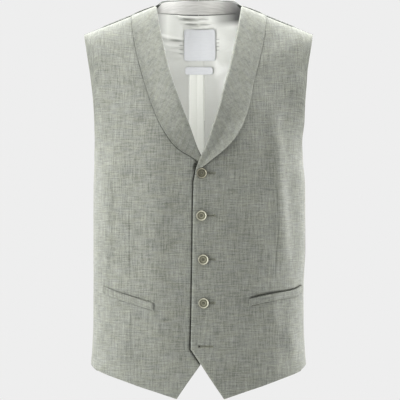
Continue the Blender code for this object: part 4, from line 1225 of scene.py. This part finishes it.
def spun(name, profile, steps, material):
    """A closed solid of revolution about z, from pairs of radius and height."""
    turn = np.arange(steps) * 2 * np.pi / steps
    radius, height = np.array(profile).T[..., None]
    rings = np.stack(np.broadcast_arrays(radius * np.cos(turn), radius * np.sin(turn), height), -1)
    number = np.arange(rings[..., 0].size).reshape(rings.shape[:-1])
    a, b = number[:-1], number[1:]
    faces = np.stack([a, np.roll(a, -1, 1), np.roll(b, -1, 1), b], -1).reshape(-1, 4).tolist()
    piece = mesh_piece(name, rings, faces + [number[0, ::-1].tolist(), number[-1].tolist()], material)
    piece.data.set_sharp_from_angle(angle=SHARP)
    return piece


def button_mesh(material):
    """One button with its four holes cut through the dish."""
    profile = [(r * BUTTON_RADIUS, h * MM) for r, h in DISH_PROFILE]
    disc = spun("button_form", profile, BUTTON_STEPS, material)
    for way in HOLE_WAYS:
        drill = spun("drill", [(HOLE_RADIUS, depth) for depth in HOLE_DEPTHS], DRILL_STEPS, material)
        drill.data.transform(Matrix.Translation(Vector(way) * HOLE_OFF))
        cut = disc.modifiers.new("hole", "BOOLEAN")
        cut.operation, cut.solver, cut.object = "DIFFERENCE", "EXACT", drill
        shown = disc.evaluated_get(bpy.context.evaluated_depsgraph_get())
        made = bpy.data.meshes.new_from_object(shown)
        disc.modifiers.clear()
        disc.data = made
        bpy.data.objects.remove(drill)
    mesh = disc.data
    mesh.set_sharp_from_angle(angle=SHARP)
    bpy.data.objects.remove(disc)
    return mesh


def button_frame(number):
    """Where a button sits: the solid's seat, square to the cloth it is sewn through."""
    on_side = RIGHT if number == len(BUTTONS) - 1 else LEFT
    x, z = (v * MM for v in BUTTONS[number])
    place = place_on_body(np.array([x * on_side]), np.array([z]), FRONT)
    point, normal = body_seat(place, FRONT)
    stand = front_offset(point[:, 0], point[:, 2], on_side)[0] + SEAM_GAP
    seat, axis = Vector(point[0] + normal[0] * stand), Vector(normal[0])
    seat.x *= on_side
    axis.x *= on_side
    return Matrix.Translation(seat) @ axis.to_track_quat("Z", "Y").to_matrix().to_4x4()


def button_threads(word, material):
    """The crossed threads through the four holes, and the wound shank below."""
    starts, ends = [], []
    for way, height in zip(np.array(HOLE_WAYS), CROSS_HEIGHTS):
        beside = np.array([-way[1], way[0], 0.0])
        for off in (-CROSS_OFF, CROSS_OFF):
            middle = beside * off + [0.0, 0.0, height]
            starts.append(middle - way * HOLE_OFF)
            ends.append(middle + way * HOLE_OFF)
    up = [(0.0, 0.0, 1.0)] * len(starts)
    cross = stitches("sewn_cross_" + word, starts, ends, up, CROSS_RADIUS, material, CROSS_ARCH)
    rise = np.linspace(0.0, 1.0, SHANK_ROWS)
    wound = 1.0 - SHANK_GROOVE * (1.0 - np.cos(rise * SHANK_TURNS * 2.0 * np.pi))
    profile = list(zip(SHANK_RADIUS * wound, rise * SHANK_HEIGHT))
    return cross, spun("sewn_shank_" + word, profile, SHANK_STEPS, material)


# ---------------------------------------------------------------- materials


def feed(tree, socket, value):
    """Link an output to a socket, or set the socket to a number or colour."""
    if isinstance(value, bpy.types.NodeSocket):
        tree.links.new(value, socket)
    else:
        socket.default_value = value


def added(tree, kind, **inputs):
    """Outputs of a new node whose inputs are fed."""
    node = tree.nodes.new("ShaderNode" + kind)
    for name, value in inputs.items():
        feed(tree, node.inputs[name], value)
    return node.outputs


SHEEN_ROUGHNESS = 0.6
SURFACES = {
    # roughness, sheen, depth and strength of the relief
    "linen": (0.92, 0.12, 0.3 * MM, 0.5),
    "satin": (0.36, 0.05, 0.8 * MM, 0.35),
    "band": (0.7, 0.1, 0.3 * MM, 0.5),
    "label": (0.55, 0.1, 0.12 * MM, 0.4),
    "thread": (0.7, 0.1, 0.15 * MM, 0.5),
    "horn": (0.33, 0.0, 0.1 * MM, 0.25),
    "floor": (0.8, 0.0, 0.0, 0.0),
}
NOISE_WAY = np.array([1.0, 0.7, 0.3])    # direction in which one noise is shifted off another
NOISES = {
    # grains in a metre on each axis, detail, shift
    "weft": ((48, 560, 1), 3, 0),
    "warp": ((540, 46, 1), 3, 7.3),
    "fibre": ((480, 520, 1), 3, 3.1),
    "cloud": ((24, 30, 1), 2, 5.7),
    "mottle": ((150, 175, 1), 2, 9.1),
    "fleck": ((60, 210, 1), 2, 11.9),
    "sheet": ((22, 16, 1), 3, 0),
    "satin_thread": ((70, 1500, 1), 2, 2.2),
    "soft": ((60, 45, 1), 2, 4),
    "streak": ((45, 1100, 1), 3, 0),
    "broad": ((25, 320, 1), 2, 6.1),
    "ribbon": ((60, 500, 1), 2, 0),
    "ply": ((1800, 1800, 1800), 2, 0),
    "veins": ((260, 90, 120), 5, 0),
    "scratches": ((2200, 300, 900), 2, 0),
    "dust": ((9, 9, 9), 3, 0),
}


def new_look(name, kind, roughness=None):
    """A new material with its node tree and shader, and its relief's depth and strength."""
    made = bpy.data.materials.new(name)
    made.use_nodes = True
    shader = made.node_tree.nodes["Principled BSDF"]
    rough, sheen, depth, strength = SURFACES[kind]
    shader.inputs["Roughness"].default_value = roughness or rough
    shader.inputs["Sheen Weight"].default_value = sheen
    shader.inputs["Sheen Roughness"].default_value = SHEEN_ROUGHNESS
    return SimpleNamespace(made=made, tree=made.node_tree, shader=shader, depth=depth, strength=strength)


def finished(look, colour, height):
    """The material, with its colour and its relief fed to the shader."""
    feed(look.tree, look.shader.inputs["Base Color"], colour)
    relief = added(look.tree, "Bump", Height=height, Distance=look.depth, Strength=look.strength)
    feed(look.tree, look.shader.inputs["Normal"], relief["Normal"])
    return look.made


def grain_place(tree):
    """The place on the flat cloth."""
    node = tree.nodes.new("ShaderNodeUVMap")
    node.uv_map = "grain"
    return node.outputs["UV"]


def own_place(tree):
    """The place in the object's own coordinates."""
    return tree.nodes.new("ShaderNodeTexCoord").outputs["Object"]


def noise(tree, place, name):
    scale, detail, shift = NOISES[name]
    turned = added(tree, "Mapping", Vector=place, Scale=scale, Location=tuple(shift * NOISE_WAY))["Vector"]
    return added(tree, "TexNoise", Vector=turned, Scale=1.0, Detail=detail, Roughness=0.5)["Fac"]


def math(tree, kind, *values, clamped=False):
    node = tree.nodes.new("ShaderNodeMath")
    node.operation, node.use_clamp = kind, clamped
    for socket, value in zip(node.inputs, values):
        feed(tree, socket, value)
    return node.outputs[0]


def product(tree, first, *others):
    for other in others:
        first = math(tree, "MULTIPLY", first, other)
    return first


def weighted(tree, parts, base=0.5):
    """Base plus each part's departure from a half, times its weight."""
    total = base - 0.5 * sum(weight for _, weight in parts)
    for output, weight in parts:
        total = math(tree, "MULTIPLY_ADD", output, weight, total)
    return total


def ramp(tree, value, stops):
    """Colour ramp; stops are pairs of position and linear colour."""
    node = tree.nodes.new("ShaderNodeValToRGB")
    points = node.color_ramp.elements
    while len(points) < len(stops):
        points.new(0.5)
    for point, (position, colour) in zip(points, stops):
        point.position = position
        point.color = (*colour, 1.0)
    feed(tree, node.inputs["Fac"], value)
    return node.outputs["Color"]


def shaded(tree, value, dark, light):
    """Colour that runs from dark to light as a value runs from 0 to 1."""
    return ramp(tree, value, ((0.0, dark), (1.0, light)))


def mixed(tree, kind, share, a, b):
    node = tree.nodes.new("ShaderNodeMix")
    node.data_type, node.blend_type = "RGBA", kind
    for name, value in (("Factor", share), ("A", a), ("B", b)):
        feed(tree, node.inputs[name], value)
    return node.outputs["Result"]


def weave(tree, place, pitch):
    """Over-and-under relief of a plain weave with threads a pitch apart."""
    axes = added(tree, "SeparateXYZ", Vector=place)
    across, up = (math(tree, "SINE", product(tree, axes[axis], np.pi / pitch)) for axis in "XY")
    return product(tree, across, up)


LINEN_PITCH, LABEL_PITCH = 0.55 * MM, 0.4 * MM    # of the threads
LINEN_DARK, LINEN_LIGHT = (0.090, 0.095, 0.075), (0.248, 0.258, 0.213)
GREY_DARK, GREY_LIGHT = (0.088, 0.093, 0.081), (0.241, 0.252, 0.225)
COLLAR_SLUBS = 0.35              # share of the slubs that shows on the brushed collar


def linen_material(name, slubs=1.0):
    """Plain-weave melange linen: slubs along both threads, some greyer and some more olive."""
    look = new_look(name, "linen")
    tree, place = look.tree, grain_place(look.tree)
    weft, warp, fibre, cloud, mottle, fleck = (
        noise(tree, place, part) for part in ("weft", "warp", "fibre", "cloud", "mottle", "fleck"))
    tone = weighted(tree, ((weft, 1.35 * slubs), (warp, 1.3 * slubs), (fibre, 0.9), (cloud, 0.35),
                           (mottle, 1.3 * (1.0 - slubs))))
    green, grey = shaded(tree, tone, LINEN_DARK, LINEN_LIGHT), shaded(tree, tone, GREY_DARK, GREY_LIGHT)
    share = math(tree, "MULTIPLY_ADD", math(tree, "SUBTRACT", fleck, 0.5), 2.4, 0.5, clamped=True)
    threads = math(tree, "MULTIPLY_ADD", weave(tree, place, LINEN_PITCH), 0.2,
                   weighted(tree, ((weft, 1.1), (warp, 1.0))))
    return finished(look, mixed(tree, "MIX", share, grey, green), threads)


NECK_PAINTED_SHADE = (
    # painted shade in the lining's upper corners beside the neck: way out, where it starts from the
    # centre, its span, the same for the height in mm, colour lost
    (1, 18, 42, -28, 10, 0.90),
    (-1, 50, 18, -100, 60, 0.50),
)
# painted shade: the lining is darker low down
LOW_PAINTED_SHADE = (-112, 74, 0.27)      # where it ends, over what height, and the colour lost
CREASE_PAINTED_SHADE = (
    # painted shade in the lining's creases: x and z of the middle, half length, half width (mm), and the
    # colour lost in the creases
    (-19, -13.6, 15, 2.6, 0.48),
    (9, -13.4, 10, 1.8, 0.32),
    (-12, -21.6, 13, 1.8, 0.56),
    (11, -21.8, 12, 1.6, 0.54),
    (-36, -48.2, 13, 2.2, 0.42),
    (-28.5, -55.6, 5, 1.5, 0.50),
    (-28.5, -62.2, 5, 1.4, 0.50),
    (-28.5, -68.9, 5, 1.4, 0.40),
    (31.5, -46, 3.6, 1.3, 0.35),
    (31.5, -51.6, 3.6, 1.3, 0.40),
    (31.5, -57.4, 3.6, 1.3, 0.40),
    (31.5, -63.2, 3.6, 1.3, 0.35),
)


def lining_painted_shade(tree):
    """Share of the lining's colour that is left under painted shade: less low down, in the neck's corners
    and in its creases.
    """
    axes = added(tree, "SeparateXYZ", Vector=own_place(tree))

    def rise(axis, start, span, way=1.0):
        return math(tree, "MULTIPLY_ADD", axes[axis], way / (span * MM), -start / span, clamped=True)

    def without(left, spot, share):
        return product(tree, left, math(tree, "MULTIPLY_ADD", spot, -share, 1.0))
    start, span, share = LOW_PAINTED_SHADE
    left = math(tree, "MULTIPLY_ADD", rise("Z", start, span), share, 1.0 - share)
    for way, out, out_span, high, high_span, share in NECK_PAINTED_SHADE:
        corner = product(tree, rise("X", out, out_span, way), rise("Z", high, high_span))
        left = without(left, corner, share)
    for x, z, long, wide, share in CREASE_PAINTED_SHADE:
        along = math(tree, "MULTIPLY_ADD", axes["X"], 1.0 / (long * MM), -x / long)
        across = math(tree, "MULTIPLY_ADD", axes["Z"], 1.0 / (wide * MM), -z / wide)
        off = math(tree, "MULTIPLY_ADD", across, across, product(tree, along, along))
        left = without(left, math(tree, "MULTIPLY_ADD", off, -1.0, 1.0, clamped=True), share)
    return shaded(tree, left, (0.0, 0.0, 0.0), (1.0, 1.0, 1.0))


def satin_material(name, dark, light, roughness, slub=0.5, paint_shade=False, gloss=0.5):
    """Smooth satin: fine crosswise threads and a faint cloud of wear, and on the lining painted shade low
    down, in the neck's corners and in its creases.
    """
    look = new_look(name, "satin", roughness)
    look.shader.inputs["Specular IOR Level"].default_value = gloss
    tree, place = look.tree, grain_place(look.tree)
    cloud, thread, soft = (noise(tree, place, part) for part in ("sheet", "satin_thread", "soft"))
    colour = shaded(tree, weighted(tree, ((cloud, 0.7), (thread, slub))), dark, light)
    # painted shade of the lining, multiplied into its colour
    if paint_shade:
        colour = mixed(tree, "MULTIPLY", 1.0, colour, lining_painted_shade(tree))
    return finished(look, colour, weighted(tree, ((thread, 0.24 * slub), (soft, 1.0))))


BAND_CLOTH = ((0.57, 0.565, 0.54), (0.92, 0.91, 0.885))    # dark and light
LABEL_CLOTH = ((0.67, 0.685, 0.71), (0.80, 0.81, 0.84))
BAND_PAINTED_SHADE = (
    # painted shade towards both ends of the band, deepest towards +x: place across the band, share of its
    # colour that is left
    (0.10, (0.26, 0.26, 0.25)),
    (0.14, (0.45, 0.45, 0.44)),
    (0.18, (0.80, 0.80, 0.80)),
    (0.27, (1.00, 1.00, 1.00)),
    (0.40, (0.93, 0.93, 0.93)),
    (0.62, (0.76, 0.76, 0.75)),
    (0.69, (0.58, 0.58, 0.57)),
    (0.74, (0.36, 0.36, 0.35)),
    (0.82, (0.12, 0.12, 0.12)),
    (0.88, (0.07, 0.07, 0.07)),
)


def band_material(name):
    """Grey-ivory twill with brushed streaks along the band, and painted shade towards its ends, where they
    tuck in under the collar.
    """
    look = new_look(name, "band")
    tree, place = look.tree, grain_place(look.tree)
    streak, broad = noise(tree, place, "streak"), noise(tree, place, "broad")
    cloth = shaded(tree, weighted(tree, ((streak, 1.5), (broad, 0.9))), *BAND_CLOTH)
    # painted shade across the band, from its own x
    across = added(tree, "SeparateXYZ", Vector=own_place(tree))["X"]
    across = math(tree, "MULTIPLY_ADD", across, 1.0 / (2.0 * BAND_END_X), 0.5)
    return finished(look, mixed(tree, "MULTIPLY", 1.0, cloth, ramp(tree, across, BAND_PAINTED_SHADE)), streak)


def label_material(name):
    """Damask-woven ribbon: fine ribs across, a slight cool sheen."""
    look = new_look(name, "label")
    tree, place = look.tree, grain_place(look.tree)
    rib = weave(tree, place, LABEL_PITCH)
    cloud = weighted(tree, ((noise(tree, place, "ribbon"), 0.6),))
    return finished(look, shaded(tree, math(tree, "MULTIPLY_ADD", rib, 0.1, cloud), *LABEL_CLOTH), rib)


def thread_material(name, dark, light, roughness=None):
    """Twisted thread: fine ply bands and fibres."""
    look = new_look(name, "thread", roughness)
    ply = noise(look.tree, own_place(look.tree), "ply")
    return finished(look, ramp(look.tree, ply, ((0.3, dark), (0.7, light))), ply)


VEIN_LIFT = 1.75                 # how much lighter the veins are than the shade
HORN_RINGS = (
    # share of the radius, colour; the dark outer edge is painted shade round the button, the dark middle
    # partly the horn's own tone and partly painted shade
    (0.00, (0.040, 0.040, 0.024)),
    (0.17, (0.050, 0.050, 0.030)),
    (0.30, (0.270, 0.268, 0.195)),
    (0.42, (0.215, 0.212, 0.150)),
    (0.60, (0.095, 0.094, 0.060)),
    (0.68, (0.120, 0.120, 0.078)),
    (0.75, (0.480, 0.475, 0.385)),
    (0.87, (0.460, 0.455, 0.370)),
    (0.93, (0.110, 0.110, 0.078)),
    (1.00, (0.055, 0.055, 0.036)),
)


def horn_material(name, shade):
    """Polished horn: a pale rim, a darker dish, and cloudy veins of a shade through both; painted shade
    darkens its outer edge, and in part its middle.
    """
    look = new_look(name, "horn")
    tree, place = look.tree, own_place(look.tree)
    axes = added(tree, "SeparateXYZ", Vector=place)
    squared = math(tree, "ADD", *(product(tree, axes[axis], axes[axis]) for axis in "XY"))
    rings = ramp(tree, product(tree, math(tree, "SQRT", squared), 1.0 / BUTTON_RADIUS), HORN_RINGS)
    veins, scratches = noise(tree, place, "veins"), noise(tree, place, "scratches")
    pale = tuple(min(1.0, VEIN_LIFT * part) for part in shade)
    cloudy = ramp(tree, veins, ((0.35, shade), (0.65, pale)))
    feed(tree, look.shader.inputs["Roughness"], math(tree, "MULTIPLY_ADD", scratches, 0.25, 0.22))
    return finished(look, mixed(tree, "MULTIPLY", 1.0, rings, cloudy), veins)


# ---------------------------------------------------------------- dressing

SATINS = {
    # name: dark and light colour, roughness, and what else sets it apart
    # the ivory lining satin carries painted shade
    "satin_ivory": ((0.77, 0.78, 0.73), (0.92, 0.93, 0.90), 0.36, 0.5, True),
    # a lighter copy of the ivory satin: painted highlight where the pleat catches the light
    "satin_pleat_lit": ((0.83, 0.84, 0.79), (0.94, 0.95, 0.90), 0.34),
    "satin_back": ((0.038, 0.042, 0.035), (0.088, 0.095, 0.082), 0.42, 1.1, False, 0.28),
}
THREADS = {
    # name: dark and light colour, and the roughness where it is its own
    "thread_olive": ((0.090, 0.094, 0.058), (0.23, 0.236, 0.160)),
    "thread_linen": ((0.13, 0.137, 0.115), (0.275, 0.286, 0.244)),
    "thread_white": ((0.53, 0.54, 0.545), (0.72, 0.72, 0.735)),
    "thread_button": ((0.06, 0.06, 0.038), (0.17, 0.168, 0.115)),
    # near-black: painted shade for the buttonholes' slits, eyelets and needle holes
    "slit_shade": ((0.012, 0.012, 0.010), (0.03, 0.03, 0.026), 0.95),
}
HORNS = {"horn_dressed": (0.60, 0.59, 0.55), "horn_dark": (0.30, 0.29, 0.25)}
HOLE_WORK = {
    # piece: radius and arch of its threads
    "sewn_buttonholes": (0.27 * MM, 0.5),
    # dark threads that stand for the shade in the slits, eyelets and needle holes
    "shade_slits": (0.3 * MM, 0.2),
    "shade_eyelets": (1.6 * MM, 0.6),
    "shade_needle_holes": (0.25 * MM, 0.1),
}
LABEL_PICKS = (2.6 * MM, 1.7 * MM)    # pitch and length of a label's stitches


def settle(piece, slot, *nodes):
    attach(piece, "root")
    if nodes:
        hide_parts(*nodes)


def settle_sheet(piece, slot, node, sewn=()):
    """Settle a sheet and what is sewn on it.
    """
    settle(piece, slot, node)
    for threads in sewn:
        settle(threads, slot)


SEWN_ROWS = np.arange(0.3, SEAM_ROWS - 0.2, 0.1)    # of a front, along which its edge is stitched
CUTAWAY_INSET = 0.3              # share of their inset by which its stitches also lie higher


def edge_lines(side):
    """Points and normals of the hand stitches inside a front's cutaway and closing edge."""
    point = body_point(front_edge_at(np.append(SEWN_ROWS, ALL_ROWS), side)[:-1], FRONT)
    higher = EDGE_INSET * np.where(SEWN_ROWS < CUTAWAY_ROWS, CUTAWAY_INSET, 0.0)
    return on_front(side, point[:, 0] + EDGE_INSET, point[:, 2] + higher)


def dress():
    linen, brushed = linen_material("linen_cloth"), linen_material("linen_collar_cloth", COLLAR_SLUBS)
    ivory, lit_pleat, dusk = (satin_material(name, *look) for name, look in SATINS.items())
    band, woven = band_material("band_cloth_dressed"), label_material("woven_label_dressed")
    silk, tonal, white, gut, gap = (thread_material(name, *look) for name, look in THREADS.items())
    horn, dark_horn = (horn_material(name, shade) for name, shade in HORNS.items())

    # buttonholes in olive silk; their slits, eyelets and needle holes in near-black, as painted shade
    holes = [sew_on_front(name, LEFT, lines, radius, silk if name == "sewn_buttonholes" else gap, arch)
             for (name, (radius, arch)), lines in zip(HOLE_WORK.items(), buttonhole_lines())]
    for side, word in ((LEFT, "left"), (RIGHT, "right")):
        front = dress_front(word, side, (linen, ivory))
        picked = pick_stitches("sewn_edge_" + word, *edge_lines(side), tonal)
        sewn = [picked] + (holes if side == LEFT else [])
        settle_sheet(front, "linen", "front_" + word, sewn=sewn)

        collar, points, up = dress_collar(word, side, (brushed,))
        picked = pick_stitches("sewn_collar_" + word, points, up, tonal)
        settle_sheet(collar, "linen", "collar_" + word, [picked])

        welt, node = dress_welt(word, side, (linen,)), "welt_" + word
        settle_sheet(welt, "linen", node, [sew_welt(word, side, tonal)])

        back = dress_back(word, side, (dusk,))
        settle_sheet(back, "back_satin", "back_" + word)

    # the lining's satin carries painted shade, and its pleat a painted highlight
    lining = dress_lining((ivory, lit_pleat))
    settle_sheet(lining, "satin", "back_lining")
    neck_band = dress_band((band, dusk))
    settle_sheet(neck_band, "neck_band", "back_neck_band")
    for node, size in (("label_main", LABEL_MAIN), ("label_small", LABEL_SMALL)):
        tab, ring, up = dress_label("cloth_" + node, size, (woven,))
        sewn = pick_stitches("sewn_" + node, ring, up, white, *LABEL_PICKS)
        settle_sheet(tab, "label", node, [sewn])

    button_form = button_mesh(horn)
    for number in range(len(BUTTONS)):
        node = f"button_{number + 1}"
        disc = linked("horn_" + node, button_form.copy())
        if number == 0:
            disc.data.materials[0] = dark_horn
        settle(disc, "horn", node)
        threads = button_threads(node, gut)
        for piece in threads:
            settle(piece, "horn")
        place = button_frame(number)
        for piece in (disc, *threads):
            piece.matrix_world = place


# ---------------------------------------------------------------- light and camera

AIM = (0.0, 0.0, -0.30)          # the middle of the garment
LAMPS = (
    # name, azimuth (degrees, 0 is in front), height over the aim, distance, side (m), power (W)
    ("key_left", -60.0, -0.5, 1.8, 0.8, 23.0),
    ("side_left", -80.0, 0.5, 1.8, 0.8, 21.5),
    ("rim_right", 105.0, -0.9, 1.8, 0.8, 70.0),
    ("low_right", 80.0, -0.9, 1.8, 0.8, 12.0),
    ("top_right", 120.0, 0.9, 0.5, 0.4, 17.5),
    ("top_left", -120.0, 0.9, 0.5, 0.4, 16.5),
    ("top_front", 30.0, 0.65, 0.35, 0.3, 1.0),
)
CAMERA_PLACE = (0.0024, -3.5, -0.3096)
LENS, SENSOR = 196.875, 36.0
FLOOR_Z, FLOOR_HALF = -1.1, 1.5
FLOOR_DARK, FLOOR_LIGHT = (0.66, 0.66, 0.66), (0.72, 0.72, 0.72)
WORLD = 0.855                    # grey of the light from all round


def area_light(name, azimuth, height, distance, side, power):
    """A square soft box aimed at the middle of the garment."""
    turn = np.radians(azimuth)
    place = Vector((np.sin(turn) * distance, -np.cos(turn) * distance, AIM[2] + height))
    data = bpy.data.lights.new(name, "AREA")
    data.shape, data.size, data.energy = "SQUARE", side, power
    lamp = linked(name, data)
    lamp.location = place
    lamp.rotation_euler = (Vector(AIM) - place).to_track_quat("-Z", "Y").to_euler()
    lamp.visible_camera = False


def floor_piece():
    mesh = bpy.data.meshes.new("floor")
    corners = [(x * FLOOR_HALF, y * FLOOR_HALF, FLOOR_Z) for x, y in ((-1, -1), (1, -1), (1, 1), (-1, 1))]
    mesh.from_pydata(corners, [], [(0, 1, 2, 3)])
    look = new_look("floor_pale", "floor")
    dust = noise(look.tree, own_place(look.tree), "dust")
    feed(look.tree, look.shader.inputs["Base Color"], shaded(look.tree, dust, FLOOR_DARK, FLOOR_LIGHT))
    mesh.materials.append(look.made)
    return linked("floor", mesh)


def light_and_camera():
    scene = bpy.context.scene
    scene.view_settings.view_transform = "Standard"
    world = bpy.data.worlds.new("studio")
    world.use_nodes = True
    world.node_tree.nodes["Background"].inputs["Color"].default_value = (WORLD, WORLD, WORLD, 1.0)
    scene.world = world
    for lamp in LAMPS:
        area_light(*lamp)
    data = bpy.data.cameras.new("camera")
    data.lens, data.sensor_width = LENS, SENSOR
    scene.camera = camera = linked("camera", data)
    camera.location = CAMERA_PLACE
    camera.rotation_euler = (np.pi / 2, 0.0, 0.0)
    floor_piece()


dress()
light_and_camera()
